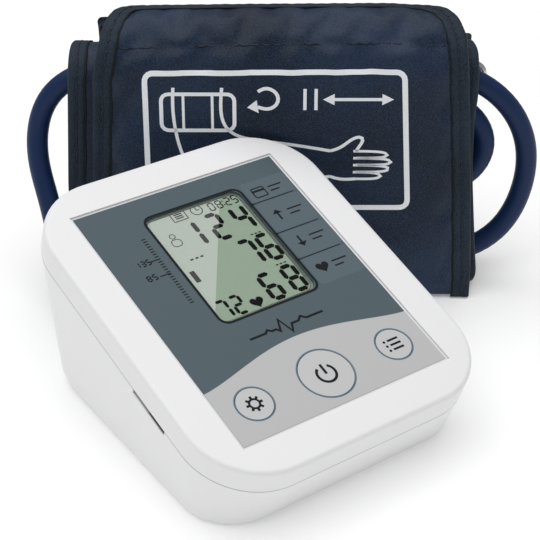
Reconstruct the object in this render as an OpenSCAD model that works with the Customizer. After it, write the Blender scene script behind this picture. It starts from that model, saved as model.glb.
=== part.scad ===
// Upper arm blood pressure monitor: a wedge shaped table unit with a display and
// three buttons, its air hose, and its cuff rolled up behind it.
// Millimetres. X runs to the user's right, Y away from the user, Z up from the table.

/* [Case] */
// Width of the case where its two halves meet
case_w = 108.4; // [106:0.2:113]
// Length of the sloping top, measured along the slope
case_l = 130.2; // [128:0.2:136]
// Radius of the four corners of the top cover
corner_r = 25; // [20:1:28]
// Slope of the top
slope = 19.7; // [18:0.1:21.5]
// Height of the top's rear end above the table
rear_h = 70.14; // [69:0.02:74]
// Depth of the top cover's side band, square to the slope
band_h = 9.5; // [8.5:0.25:11]
// Rounding of the cover's upper edge
edge_r = 1.6; // [0.8:0.2:2]
// Wall of both case halves
wall = 2.4; // [1.8:0.2:2.8]
// Inset of the front of the base behind the front of the case
front_tuck = 8; // [6:0.2:10]
// Inset of the sides of the base at the front
side_tuck = 2.4; // [2:0.2:5]
// Inset of the sides of the base at the rear
rear_tuck = 7; // [5:0.2:9]
// Corner radius of the base
base_r = 19; // [15:1:22]
// Gap under the case, held open by the feet
foot_gap = 0.8; // [0.4:0.1:1.4]
// Thickness of the floor
floor_t = 2.2; // [2:0.1:2.8]
// Length of the side slot at the seam
slot_l = 18.6; // [12:0.2:24]
// Height of the side slot
slot_h = 2.1; // [1.4:0.1:2.6]

/* [Front panel] */
// Width of the recess in the top
recess_w = 82.6; // [81.6:0.2:88]
// Length of the recess in the top
recess_l = 104.8; // [104:0.2:108]
// Depth of the recess
recess_d = 1.5; // [1.3:0.1:1.8]
// Gap round the panel film
panel_gap = 0.9; // [0.5:0.1:1.2]
// Thickness of the panel film and its carrier
panel_t = 1; // [0.8:0.1:1.2]
// Thickness of the roof under the recess
roof_t = 2; // [1.6:0.1:2.2]
// Width of the display window
window_w = 39.4; // [36:0.2:40]
// Length of the display window
window_l = 50.3; // [46:0.2:51]
// Distance from the rear end of the recess to the window
window_in = 10.05; // [9.2:0.05:11.2]
// Corner radius of the window
window_r = 4; // [2:0.5:5]

/* [Buttons] */
// Diameter of the power button
power_d = 19; // [17:0.2:20]
// Diameter of the two small buttons
small_d = 12.6; // [11:0.2:13.4]
// Distance from the middle to each small button
button_pitch = 28; // [27:0.2:28.6]
// Distance from the front end of the recess to the middle of the buttons
button_in = 13.3; // [12.9:0.1:13.9]
// Gap round each button
button_gap = 0.25; // [0.15:0.05:0.35]
// Travel of each button
button_travel = 0.6; // [0.4:0.1:0.8]

/* [Power] */
// Radius of one battery
cell_r = 7.1; // [6.9:0.05:7.2]
// Length of one battery with its pip
cell_l = 50.5; // [49.5:0.1:51]
// Distance between neighbouring batteries
cell_pitch = 15.2; // [14.9:0.1:15.6]
// Room for the contact springs
spring_room = 6.3; // [5:0.1:7]
// Thickness of the battery door
door_t = 1.8; // [1.5:0.1:1.9]
// Gap round the battery door
door_gap = 0.3; // [0.2:0.05:0.4]

/* [Air system] */
// Radius of the pump's motor can
motor_r = 12; // [11:0.25:12.5]
// Length of the motor can
motor_l = 28; // [24:0.5:28.5]
// Side of the square pump head
head_w = 24; // [22:0.5:25]
// Radius of the bleed valve
valve_r = 6.5; // [5.5:0.25:7]
// Travel of the valve's plunger
valve_travel = 0.8; // [0.5:0.1:1]
// Radius of the air socket's bore
socket_bore_r = 3; // [2.6:0.1:3.4]
// Clearance of the plug's nose in the socket
plug_gap = 0.1; // [0.06:0.02:0.2]
// Diameter of the hose
hose_d = 8; // [7:0.25:8.5]

/* [Cuff] */
// Gap between the case's rear corner, seen from above, and the middle of the cuff's cloth
cuff_gap = 0.444; // [0.4:0.002:2]
// Distance between the two turns of the rolled cuff
turn_gap = 6.2; // [6:0.1:7]
// Turn of the rolled cuff about the upright, against the case
cuff_turn = 36.5; // [36:0.5:37]
// Thickness of the cuff cloth with its lining
cuff_t = 3.6; // [3:0.1:3.8]
// Backward lean of the rolled cuff, as a share of its height
cuff_lean = 0.05; // [0.04:0.005:0.07]
// Width of the rolled cuff at the table
cuff_w = 147; // [140:1:150]
// Narrowing of the outer turn at its top, both sides together
cuff_taper = 18; // [8:1:22]
// Width of the edge binding
binding_w = 6; // [4:0.5:8]
// How far the binding stands proud of the cloth
binding_t = 0.2; // [0.1:0.05:0.25]
// Radius of the metal ring's wire
ring_r = 1.5; // [1.2:0.1:1.7]
// Height of the metal ring
ring_h = 14; // [11:0.5:16]

/* [Hidden] */
$fn = 48;
// A small overlap that joins two shapes of one solid
join = 0.05;

// The middle of the whole set, seen from above, from the middle of the case
set_middle = [39.3, 34.3];

// Heights and depths. Depths are measured square to the slope, down from the top face.
mid_h = tidy(rear_h - case_l / 2 * sin(slope));
seam_y = case_l / 2 * cos(slope) + band_h * sin(slope);
front_y = -case_l / 2 * cos(slope) + band_h * sin(slope);
panel_top = recess_d - panel_t;
roof_d = recess_d + roof_t;
floor_z = foot_gap + floor_t;

// Screws of the case
screw_x = case_w / 2 - 14.2;
screw_front = tidy(front_y + 20.09);
screw_rear = tidy(seam_y - 18.49);
screw_places = [for (y = [screw_front, screw_rear], x = [-screw_x, screw_x]) [x, y]];
screw_r = 1.45;
screw_hole_r = 1.5;
boss_r = 3.6;
post_r = 4.6;
tunnel_r = 3.4;
boss_drop = 3;
seat_t = 4;
screw_bite = 7;

// Places on the slope, measured up it from its middle
window_v = recess_l / 2 - window_in - window_l / 2;
button_v = recess_l / 2 - button_in;

// Display stack
lens_ledge = 0.9;
lens_gap = 0.2;
lcd_gap = 0.2;
lcd_t = 2.8;
lcd_d = panel_top + panel_t + 0.1;
holder_d = lcd_d + lcd_t + 0.1;
holder_wall = 1.5;
holder_over = 1.4;
holder_w = window_w + 2 * holder_over + 1;
holder_l = window_l + 2 * holder_over + 2.9;

// Main board
board_d = 11.6;
board_t = 1.6;
board_w = case_w - 40.4;
board_l = case_l - 26.2;
board_under = board_d + board_t;
hole_x = board_w / 2 - 3;
board_holes = [[15 - hole_x, 3.5 - board_l / 2], [hole_x - 15, 3.5 - board_l / 2],
    [-hole_x, board_l / 2 - 4], [hole_x, board_l / 2 - 4]];
board_post_r = 2.6;

// Buttons
flange_over = 0.9;
flange_t = 1;
flange_gap = 0.2;
stem_r = 3;
pip_r = 1.6;
switch_w = 6;
switch_h = 3.6;
switch_d = board_d - switch_h;

// Battery bay
bay_w = 4 * cell_pitch + 1.2;
plate_t = 0.5;
nub_gap = 0.1;
bay_l = cell_l + spring_room + 2 * plate_t + 2 * nub_gap;
bay_y = tidy(seam_y - 85.49);
bay_wall = 1.6;
ledge = 2;
ledge_z = foot_gap + 2;
cell_z = ledge_z + 0.2 + cell_r;
bay_top = cell_z + cell_r + 0.6;
door_w = bay_w + 2 * ledge - 2 * door_gap;
door_l = bay_l + 2 * ledge - 2 * door_gap;
tongue_w = 8;
tongue_x = 18;
tongue_reach = 3;
latch_w = 14;

// Feet and side slot
foot_r = 4;
foot_sink = 0.8;
// Inset of the very bottom of the base
foot_round = 0.8;
foot_x = case_w / 2 - 15.2;
foot_front = tidy(front_y + 31.09);
foot_rear = tidy(seam_y - 31.49);
foot_places = [for (y = [foot_front, foot_rear], x = [-foot_x, foot_x]) [x, y]];
slot_v = 34.3 - case_l / 2;

// Rear wall pieces
socket_x = -22;
socket_z = 13;
socket_y = seam_y;
socket_barrel_r = 5;
socket_flange_r = 6.2;
socket_flange_t = 1.2;
socket_in = 14.5;
spigot_r = 2;
spigot_l = 4;
usb_x = 19;
usb_z = 12;
usb_w = 7.6;
usb_h = 2.8;
usb_l = 5.4;
power_board_w = 13;
power_board_l = 12;
power_board_t = 1.2;
power_board_y = seam_y - wall - 0.3 - power_board_l / 2;

// Pump lies along X over the battery bay
pump_gap = 6.09;
pump_y = tidy(seam_y - wall - pump_gap - head_w / 2);
pump_z = bay_top + bay_wall + head_w / 2 + 1;
pump_x = 5;
shaft_r = 1;
shaft_gap = 0.05;
crank_r = 5;
crank_throw = 1.5;
housing_l = 9;
diaphragm_t = 1.5;
valve_cover_l = 5.5;
nozzle_r = 2;
nozzle_l = 3;
cradle_t = 2.4;
cradle_gap = 0.3;

// Pressure sensor under the main board
sensor_v = board_l / 2 - 15.2;
sensor_h = 4;

// Bleed valve stands upright on the bay's roof
tee_y = pump_y - 2.5;
valve_x = socket_x;
valve_y = tee_y - 17.5;
valve_z = bay_top + bay_wall;
valve_h = 18;
plunger_r = 2.5;
plunger_gap = 0.06;
plunger_l = 7;
spring_l = 6;
tee_z = 31;
tee_r = 3;
tube_r = 2.5;

// Cuff frame: s runs to the camera's right, w away from it, z up
case_reach = (case_w / 2 - corner_r) * sin(cuff_turn)
    + ((case_l / 2 - corner_r) * cos(slope) + band_h * sin(slope)) * cos(cuff_turn)
    + corner_r * norm([sin(cuff_turn), cos(slope) * cos(cuff_turn)]);
front_w = tidy(case_reach + cuff_gap);
top_r = 15.9;
top_z = 90;
inner_front_w = front_w + turn_gap;
inner_r = 10.7;
inner_z = 84;
inner_end = 13;
bottom_r = 6;
back_w = front_w + 2 * top_r;
inner_back_w = inner_front_w + 2 * inner_r;
tail_z = 0.4;
strap_top_z = 86.2;
cuff_middle = 7.5;
cuff_s = [cuff_middle - cuff_w / 2, cuff_middle + cuff_w / 2];
cuff_left = [cuff_s[0], cuff_s[0] + cuff_taper * 0.6];
cuff_right = [cuff_s[1], cuff_s[1] - cuff_taper * 0.4];
cloth_t = 1.6;
lining_t = 0.7;
bladder_s = [cuff_s[0] + 11, cuff_s[1] - 15];
patch_t = 0.9;
patch_gap = 0.15;
hook_s = [cuff_s[0] + 36, cuff_s[1] - 31];
hook_z = [12, 56];
loop_s = [cuff_s[0] + 16, cuff_s[1] - 11];
loop_z = [10, 82];
inner_left = [cuff_s[0] - 5.5, cuff_s[0] - 1.5];
inner_right = [cuff_s[1] + 1.5, cuff_s[1] - 3.5];
strap_s = [cuff_s[0] + 4, cuff_s[1] - 7];
ring_s = [strap_s[0] - 10, strap_s[1] + 12];
ring_axis_z = 82.5;
ring_w = inner_back_w + cuff_lean * ring_axis_z - 0.6;
lean_angle = atan(cuff_lean);
hose_r = hose_d / 2;
port_s = 26;
port_w = inner_front_w + 7;
port_z = 73;
port_l = 8;

// Plug
grip_y = socket_y + socket_flange_t + 0.3;
grip_l = 12;
grip_r = 5.5;
hose_y = grip_y + grip_l;

// Route of the hose in the cuff frame, from behind the plug to the cuff's port
route = [[-74, 68, 17], [-77, 76, 26], [-80, 83, 37], [-84, 88, 50], [-84, 92, 63],
    [-79, 93, 76], [-67, 93, 85], [-50, 93, 87], [-20, 93, 87], [10, 93, 87],
    [40, 93, 87], [62, 93, 87], [80, 93, 83], [94, 93, 72], [102, 93, 56],
    [102, 93.5, 37], [95, 92, 19.5], [80, 90.5, 9.7], [60, 90.5, 8.7], [48, 90.4, 7.8],
    [36, 89.8, 6.8], [22, 89.8, 11.6], [15, 90.3, 24.3], [22, 90.9, 36.9], [36, 91.2, 42.7],
    [50, 90.4, 41.7], [66, 90.2, 38.8], [80, 90.2, 42.7], [87, 90.9, 56.3], [80, 91.6, 69.9],
    [66, 91.9, 74.7], [50, 91.8, 72.8]];

// A place rounded to a hundredth of a millimetre
function tidy(x) = round(x * 100) / 100;

// Turns a point of the case frame into the cuff frame
function to_cuff(p) = [
    p[0] * cos(cuff_turn) - p[1] * sin(cuff_turn),
    p[0] * sin(cuff_turn) + p[1] * cos(cuff_turn),
    p[2]];

// Point of a smooth curve that four neighbouring route points steer, t from 0 to 1
function blend(a, b, c, d, t) =
    (pow(1 - t, 3) * a + (3 * pow(t, 3) - 6 * t * t + 4) * b
    + (-3 * pow(t, 3) + 3 * t * t + 3 * t + 1) * c + pow(t, 3) * d) / 6;

// Smooth curve through a list of steering points, with steps points for each of them
function smooth(p, steps) = let (q = concat([p[0], p[0]], p, [p[len(p) - 1], p[len(p) - 1]]))
    concat([for (i = [0:len(q) - 4], j = [0:steps - 1])
        blend(q[i], q[i + 1], q[i + 2], q[i + 3], j / steps)],
        [p[len(p) - 1]]);

function unit(v) = v / norm(v);

// Direction of a path at its point i
function heading(p, i) = unit(p[min(i + 1, len(p) - 1)] - p[max(i - 1, 0)]);

// Sideways direction carried along a path without twist
function carried(p, i, side) = let (t = heading(p, i)) unit(side - (side * t) * t);
function sides(p, side) = [for (i = 0, s = carried(p, 0, side); i < len(p);
    i = i + 1, s = i < len(p) ? carried(p, i, s) : s) s];

// Arc of points about a centre, as [w, z]
function arc(c, r, a0, a1, n) = [for (i = [0:n])
    let (a = a0 + (a1 - a0) * i / n) [c[0] + r * cos(a), c[1] + r * sin(a)]];

// Round rod swept along a path: one closed mesh with flat ends
module swept(path, r, n, side) {
    turn = sides(path, side);
    rings = [for (i = [0:len(path) - 1]) let (t = heading(path, i), u = turn[i], v = cross(t, u))
        for (k = [0:n - 1]) path[i] + r * (cos(360 * k / n) * u + sin(360 * k / n) * v)];
    last = n * (len(path) - 1);
    walls = [for (i = [0:len(path) - 2], k = [0:n - 1], half = [0, 1]) let (m = (k + 1) % n, a = i * n)
        half == 0 ? [a + k, a + n + k, a + n + m] : [a + k, a + n + m, a + m]];
    polyhedron(rings, concat([[for (k = [0:n - 1]) k]], walls,
        [[for (k = [0:n - 1]) last + n - 1 - k]]));
}

// Moves the case from its own middle to the middle of the whole set
module placed() {
    translate([-set_middle[0], -set_middle[1], 0]) children();
}

// Puts children on the slope: X across, Y up the slope, Z square out of the top face
module on_slope() {
    translate([0, 0, mid_h]) rotate([slope, 0, 0]) children();
}

// Puts children in the cuff frame
module in_cuff() {
    rotate([0, 0, -cuff_turn]) children();
}

// Height of the plane at a depth under the top face, above a place on the table
function slope_z(y, depth) = mid_h + y * tan(slope) - depth / cos(slope);

// Height of the flat joint between a post of the case and a boss of the cover
function boss_z(y) = slope_z(y, band_h) - boss_drop;

module rounded_rect(w, l, r) {
    square([w - 2 * r, l], center = true);
    square([w, l - 2 * r], center = true);
    for (x = [-1, 1], y = [-1, 1]) translate([x * (w / 2 - r), y * (l / 2 - r)]) circle(r);
}

module plate(w, l, r, h) {
    linear_extrude(h) rounded_rect(w, l, r);
}

module block(w, l, h) {
    translate([-w / 2, -l / 2, 0]) cube([w, l, h]);
}

// Block with upright rounded corners and a rounded upper edge
module soft_block(w, l, r, h, e) {
    hull() for (x = [-1, 1], y = [-1, 1]) translate([x * (w / 2 - r), y * (l / 2 - r), 0])
        rotate_extrude($fn = 64)
            polygon(concat([[0, 0], [r, 0]], arc([r - e, h - e], e, 0, 90, 4), [[0, h]]));
}

// One level of the lower case: four corner discs at height z
module base_level(z, inset, tuck) {
    r = base_r - inset;
    front = front_y + front_tuck * tuck + inset;
    rear = seam_y - inset;
    for (side = [-1, 1]) {
        translate([side * (case_w / 2 - side_tuck * tuck - base_r), front + r, z])
            cylinder(r = r, h = 0.1, $fn = 40);
        translate([side * (case_w / 2 - rear_tuck * tuck - base_r), rear - r, z])
            cylinder(r = r, h = 0.1, $fn = 40);
    }
}

// Outer form of the lower case, from the seam down, or its inner form with an inset
module case_form(inset, bottom_z, seam_up) {
    hull() {
        on_slope() for (x = [-1, 1], y = [-1, 1])
            translate([x * (case_w / 2 - corner_r), y * (case_l / 2 - corner_r),
                -band_h + seam_up - 0.1])
                cylinder(r = corner_r - inset, h = 0.1, $fn = 64);
        base_level(bottom_z + 5.2, inset, 0.86);
        base_level(bottom_z, inset + foot_round, 1);
    }
}

module button_at(x) {
    on_slope() translate([x, -button_v, 0]) children();
}

// A button: cap flush with the panel, collar under the roof, stem and pip to its switch
module button(d) {
    r = d / 2 - button_gap;
    translate([0, 0, -roof_d - flange_gap - join])
        cylinder(r = r, h = roof_d + flange_gap + join - panel_top);
    translate([0, 0, -roof_d - flange_gap - flange_t]) cylinder(r = r + flange_over, h = flange_t);
    translate([0, 0, -switch_d + button_travel + 0.1])
        cylinder(r = stem_r, h = switch_d - button_travel - roof_d - flange_gap - 0.2);
    translate([0, 0, -board_d + button_travel + 0.2])
        cylinder(r = pip_r, h = board_d - button_travel - 0.2 - roof_d - flange_gap - 0.5);
}

module top_cover() {
    color("white") difference() {
        union() {
            on_slope() difference() {
                translate([0, 0, -band_h])
                    soft_block(case_w, case_l, corner_r, band_h, edge_r);
                translate([0, 0, -band_h - 1])
                    plate(case_w - 2 * wall, case_l - 2 * wall, corner_r - wall, band_h + 1 - roof_d);
            }
            // Posts that carry the main board
            on_slope() for (p = board_holes) translate([p[0], p[1], -board_d])
                cylinder(r = board_post_r, h = board_d - roof_d + join);
            // Bosses for the case screws, cut off at the roof
            intersection() {
                for (p = screw_places) translate([p[0], p[1], boss_z(p[1])]) cylinder(r = boss_r, h = 40);
                on_slope() translate([0, 0, -roof_d + join - 60]) block(case_w, case_l, 60);
            }
        }
        on_slope() {
            translate([0, 0, -recess_d]) block(recess_w, recess_l, recess_d + 1);
            translate([0, window_v, -roof_d - 1])
                plate(window_w - 2 * lens_ledge, window_l - 2 * lens_ledge,
                    window_r - lens_ledge, roof_d + 1);
            for (b = [[-button_pitch, small_d], [0, power_d], [button_pitch, small_d]])
                translate([b[0], -button_v, -roof_d - 1]) cylinder(r = b[1] / 2, h = roof_d + 1);
            for (p = board_holes) translate([p[0], p[1], -board_d - 1])
                cylinder(r = screw_hole_r - 0.25, h = 7);
        }
        for (p = screw_places) translate([p[0], p[1], boss_z(p[1]) - 1])
            cylinder(r = screw_hole_r, h = screw_bite + 1.4);
    }
}

module battery_bay() {
    translate([0, bay_y + bay_l / 2, ledge_z])
        block(bay_w + 2 * bay_wall + 2 * ledge, bay_l + 2 * bay_wall + 2 * ledge, floor_z + 1 - ledge_z);
    translate([0, bay_y + bay_l / 2, ledge_z])
        block(bay_w + 2 * bay_wall, bay_l + 2 * bay_wall, bay_top + bay_wall - ledge_z);
}

// Two saddles that hold the pump
module cradle() {
    for (x = [pump_x + 4, pump_x + motor_l - 7]) difference() {
        translate([x, pump_y - motor_r - 1, floor_z - join])
            cube([cradle_t, 2 * motor_r + 2, pump_z - floor_z - 4]);
        translate([x - 1, pump_y, pump_z]) rotate([0, 90, 0])
            cylinder(r = motor_r + cradle_gap, h = cradle_t + 2);
    }
}

module bottom_case() {
    color("whitesmoke") difference() {
        union() {
            difference() {
                case_form(0, foot_gap, 0);
                case_form(wall, floor_z, 1);
            }
            intersection() {
                case_form(0.3, foot_gap, 0);
                union() {
                    for (p = screw_places) translate([p[0], p[1], foot_gap])
                        cylinder(r = post_r, h = boss_z(p[1]) - foot_gap);
                    battery_bay();
                    cradle();
                    // Ribs under the power board
                    for (x = [-1, 1])
                        translate([usb_x + x * (power_board_w / 2 - 1.5), power_board_y, floor_z - join])
                        block(2, power_board_l, usb_z - usb_h / 2 - power_board_t - floor_z + join);
                    // Root of the lip, inside the wall
                    on_slope() difference() {
                        translate([0, 0, -band_h - 3])
                            plate(case_w - 1, case_l - 1, corner_r - 0.5, 3);
                        translate([0, 0, -band_h - 4])
                            plate(case_w - 2 * wall - 2.6, case_l - 2 * wall - 2.6,
                                corner_r - wall - 1.3, 5);
                    }
                }
            }
            // Lip that centres the cover
            on_slope() difference() {
                translate([0, 0, -band_h - 1])
                    plate(case_w - 2 * wall - 0.4, case_l - 2 * wall - 0.4, corner_r - wall - 0.2, 2.5);
                translate([0, 0, -band_h - 2])
                    plate(case_w - 2 * wall - 2.6, case_l - 2 * wall - 2.6, corner_r - wall - 1.3, 5);
            }
        }
        // Battery bay and its door opening
        translate([0, bay_y + bay_l / 2, foot_gap - 1]) block(bay_w, bay_l, bay_top - foot_gap + 1);
        translate([0, bay_y + bay_l / 2, foot_gap - 1])
            block(bay_w + 2 * ledge, bay_l + 2 * ledge, ledge_z - foot_gap + 1);
        // Ways for the tongues of the door
        for (x = [-tongue_x, tongue_x]) translate([x - tongue_w / 2 - 0.5, bay_y - ledge - 4, ledge_z + 0.2])
            cube([tongue_w + 1, ledge + 4 + 3, 5.4]);
        for (x = [-tongue_x, tongue_x]) translate([x - tongue_w / 2 - 0.5, bay_y - ledge, ledge_z - join])
            cube([tongue_w + 1, ledge + 3, 1]);
        // Notch for the latch of the door
        translate([-latch_w / 2 - 0.5, bay_y + bay_l + ledge - join, foot_gap - 1])
            cube([latch_w + 1, 3, floor_z + 2]);
        // Screw tunnels
        for (p = screw_places) translate([p[0], p[1], 0]) {
            cylinder(r = screw_hole_r + 0.2, h = boss_z(p[1]) + 1);
            cylinder(r = tunnel_r, h = boss_z(p[1]) - seat_t);
        }
        // Air socket and charging port
        translate([socket_x, seam_y - wall - 3, socket_z]) rotate([-90, 0, 0])
            cylinder(r = socket_barrel_r + 0.15, h = wall + 6);
        translate([usb_x - usb_w / 2 - 0.6, seam_y - wall - 3, usb_z - usb_h / 2 - 0.6])
            cube([usb_w + 1.2, wall + 6, usb_h + 1.2]);
        // Seats of the feet
        for (p = foot_places) translate([p[0], p[1], foot_gap - 1])
            cylinder(r = foot_r + 0.1, h = 1 + foot_sink);
        // Side slot at the seam: a shallow rear half and a deeper front half
        on_slope() translate([-case_w / 2 - 1, slot_v, -band_h - slot_h]) {
            cube([1.9, slot_l, slot_h + 0.1]);
            cube([3, slot_l * 0.52, slot_h + 0.1]);
        }
    }
}

module display_panel() {
    color("slategray") on_slope() difference() {
        translate([0, 0, -recess_d])
            block(recess_w - 2 * panel_gap, recess_l - 2 * panel_gap, panel_t);
        translate([0, window_v, -recess_d - 1]) plate(window_w, window_l, window_r, panel_t + 2);
        for (b = [[-button_pitch, small_d], [0, power_d], [button_pitch, small_d]])
            translate([b[0], -button_v, -recess_d - 1]) cylinder(r = b[1] / 2, h = panel_t + 2);
    }
}

module display_window() {
    color("gainsboro", 0.4) on_slope() translate([0, window_v, -recess_d])
        plate(window_w - 2 * lens_gap, window_l - 2 * lens_gap, window_r - lens_gap, panel_t);
}

module set_button() {
    color("silver") button_at(-button_pitch) button(small_d);
}

module power_button() {
    color("silver") button_at(0) button(power_d);
}

module memory_button() {
    color("silver") button_at(button_pitch) button(small_d);
}

module lcd_glass() {
    color("darkseagreen") on_slope() translate([0, window_v, -lcd_d - lcd_t])
        plate(window_w - 2 * lens_ledge - 2 * lcd_gap, window_l - 2 * lens_ledge - 2 * lcd_gap,
            window_r - lens_ledge - lcd_gap, lcd_t);
}

module lcd_holder() {
    color("ivory") on_slope() translate([0, window_v, 0]) difference() {
        translate([0, 0, -board_d]) plate(holder_w, holder_l, 2, board_d - holder_d);
        translate([0, 0, -board_d - 1])
            plate(holder_w - 2 * holder_wall, holder_l - 2 * holder_wall, 1.2,
                board_d - holder_d - 1.2 + 1);
        // Way for the connector strip
        translate([0, -window_l / 2 + 4, -board_d - 1]) block(36.6, 2.6, board_d);
    }
}

module lcd_connector() {
    color("hotpink") on_slope() translate([0, window_v - window_l / 2 + 4, -board_d])
        block(36, 2, board_d - holder_d + 0.1 - join);
}

module main_board() {
    color("darkgreen") on_slope() difference() {
        translate([0, 0, -board_under]) plate(board_w, board_l, 2, board_t);
        for (p = board_holes) translate([p[0], p[1], -board_under - 1])
            cylinder(r = 1.4, h = board_t + 2);
    }
}

module board_screws() {
    color("silver") on_slope() for (p = board_holes) translate([p[0], p[1], -board_under]) {
        translate([0, 0, -1.5]) cylinder(r = 2.3, h = 1.5);
        cylinder(r = 1.2, h = board_t + 5.4);
    }
}

module button_switches() {
    color("dimgray") for (x = [-button_pitch, 0, button_pitch]) button_at(x) difference() {
        translate([0, 0, -board_d]) block(switch_w, switch_w, switch_h);
        translate([0, 0, -board_d - 1]) cylinder(r = pip_r + 0.15, h = switch_h + 2);
    }
}

module controller_chips() {
    color("black") on_slope() {
        translate([6, 14, -board_under - 1.8]) block(12, 12, 1.8);
        translate([-12, 20, -board_under - 1.6]) block(5, 6, 1.6);
        translate([24, 2, -board_under - 1.4]) block(6.5, 3.5, 1.4);
        translate([-4, -6, -board_under - 2.6]) cylinder(r = 3, h = 2.6);
    }
}

module buzzer() {
    color("black") on_slope() translate([20, 28 - board_l / 2, -board_under - 4.4]) difference() {
        cylinder(r = 6, h = 4.4);
        translate([0, 0, -1]) cylinder(r = 1, h = 3);
    }
}

module pressure_sensor() {
    color("gray") on_slope() translate([socket_x, sensor_v, -board_under - sensor_h]) {
        block(8, 8, sensor_h);
        translate([0, 0, -spigot_l]) cylinder(r = 1.5, h = spigot_l + join);
    }
}

// A round piece of the pump along X, from x0 with length l
module along_pump(x0, l, r) {
    translate([x0, pump_y, pump_z]) rotate([0, 90, 0]) cylinder(r = r, h = l);
}

module head_slice(x0, l) {
    translate([x0, pump_y, pump_z]) rotate([0, 90, 0]) plate(head_w, head_w, 4, l);
}

module pump_motor() {
    color("silver") difference() {
        union() {
            along_pump(pump_x, motor_l, motor_r);
            along_pump(pump_x + motor_l - join, 1.2, 4);
        }
        along_pump(pump_x - 1, 9, shaft_r + shaft_gap);
    }
}

module pump_shaft() {
    color("dimgray") {
        along_pump(pump_x - 6, 13.5, shaft_r);
        translate([0, crank_throw, 0]) along_pump(pump_x - 5, 4, crank_r);
    }
}

module pump_housing() {
    color("ivory") difference() {
        head_slice(pump_x - housing_l, housing_l);
        along_pump(pump_x - housing_l - 1, housing_l + 2, head_w / 2 - 2.6);
    }
}

module pump_diaphragm() {
    color("black") head_slice(pump_x - housing_l - diaphragm_t, diaphragm_t);
}

module pump_valve_cover() {
    x0 = pump_x - housing_l - diaphragm_t - valve_cover_l;
    color("ivory") {
        head_slice(x0, valve_cover_l);
        translate([x0 - nozzle_l, tee_y, tee_z]) rotate([0, 90, 0])
            cylinder(r = nozzle_r, h = nozzle_l + join);
    }
}

module valve_body() {
    color("silver") translate([valve_x, valve_y, valve_z]) {
        difference() {
            cylinder(r = valve_r, h = valve_h);
            translate([0, 0, valve_h - plunger_l - spring_l])
                cylinder(r = plunger_r + plunger_gap, h = valve_h);
        }
        translate([0, valve_r - 0.6, tee_z - valve_z]) rotate([-90, 0, 0])
            cylinder(r = spigot_r, h = 2.6);
    }
}

module valve_plunger() {
    color("dimgray") translate([valve_x, valve_y, valve_z + valve_h - plunger_l - spring_l + 0.05])
        cylinder(r = plunger_r, h = plunger_l - 0.1);
}

module valve_spring() {
    turns = 4;
    steps = 10;
    z0 = valve_z + valve_h - spring_l + 0.35;
    path = [for (i = [0:turns * steps]) let (a = i * 360 / steps)
        [valve_x + 1.9 * cos(a), valve_y + 1.9 * sin(a), z0 + (spring_l - 0.7) * i / (turns * steps)]];
    color("silver") swept(path, 0.25, 5, [0, 0, 1]);
}

module valve_cap() {
    color("ivory") translate([valve_x, valve_y, valve_z + valve_h]) cylinder(r = valve_r, h = 1.4);
}

module air_tee() {
    color("ivory") translate([valve_x, tee_y, tee_z]) {
        cylinder(r = tee_r, h = 7, center = true);
        for (z = [-6.5, 3.4]) translate([0, 0, z]) cylinder(r = spigot_r, h = 3.1);
        rotate([0, 90, 0]) cylinder(r = spigot_r, h = 5);
        rotate([90, 0, 0]) cylinder(r = spigot_r, h = 4.4);
    }
}

module air_tubes() {
    pump_end = pump_x - housing_l - diaphragm_t - valve_cover_l - nozzle_l;
    sensor_y = sensor_v * cos(slope) + (board_under + sensor_h + spigot_l) * sin(slope);
    sensor_z = slope_z(sensor_y, board_under + sensor_h + spigot_l);
    socket_end = socket_y - socket_in - spigot_l;
    color("white", 0.7) {
        // Socket to tee
        swept(smooth([[socket_x, socket_end - 0.1, socket_z], [socket_x, socket_end - 2, socket_z],
            [socket_x, tee_y, socket_z + 0.5], [socket_x, tee_y, socket_z + 5],
            [socket_x, tee_y, tee_z - 6.6]], 4), tube_r, 10, [1, 0, 0]);
        // Tee to pump
        translate([socket_x + 5.1, tee_y, tee_z]) rotate([0, 90, 0])
            cylinder(r = tube_r, h = pump_end - socket_x - 5.2);
        // Tee to valve
        translate([socket_x, tee_y - 4.5, tee_z]) rotate([90, 0, 0])
            cylinder(r = tube_r, h = tee_y - 4.5 - valve_y - valve_r - 2.1);
        // Tee to sensor
        swept([[socket_x, tee_y, tee_z + 6.6], [socket_x, sensor_y, sensor_z - 0.1]], 2, 10, [1, 0, 0]);
    }
}

module air_socket() {
    color("darkgray") difference() {
        union() {
            translate([socket_x, socket_y - socket_in, socket_z]) rotate([-90, 0, 0])
                cylinder(r = socket_barrel_r, h = socket_in + join);
            translate([socket_x, socket_y, socket_z]) rotate([-90, 0, 0])
                cylinder(r = socket_flange_r, h = socket_flange_t);
            translate([socket_x, socket_y - socket_in - spigot_l, socket_z]) rotate([-90, 0, 0])
                cylinder(r = spigot_r, h = spigot_l + join);
        }
        translate([socket_x, socket_y - socket_in + 2, socket_z]) rotate([-90, 0, 0])
            cylinder(r = socket_bore_r, h = socket_in + 2);
    }
}

module usb_port() {
    color("silver") translate([usb_x, seam_y - 0.6 - usb_l, usb_z]) rotate([-90, 0, 0]) difference() {
        plate(usb_w, usb_h, 0.9, usb_l);
        translate([0, 0, 1]) plate(usb_w - 0.7, usb_h - 0.7, 0.6, usb_l);
    }
}

module power_board() {
    color("darkgreen") translate([usb_x, power_board_y, usb_z - usb_h / 2 - power_board_t])
        block(power_board_w, power_board_l, power_board_t);
}

// Alternate cells point the other way
module each_cell() {
    for (i = [0:3]) translate([(i - 1.5) * cell_pitch, bay_y + bay_l / 2, cell_z])
        rotate([0, 0, i % 2 == 0 ? 0 : 180]) children();
}

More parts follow.
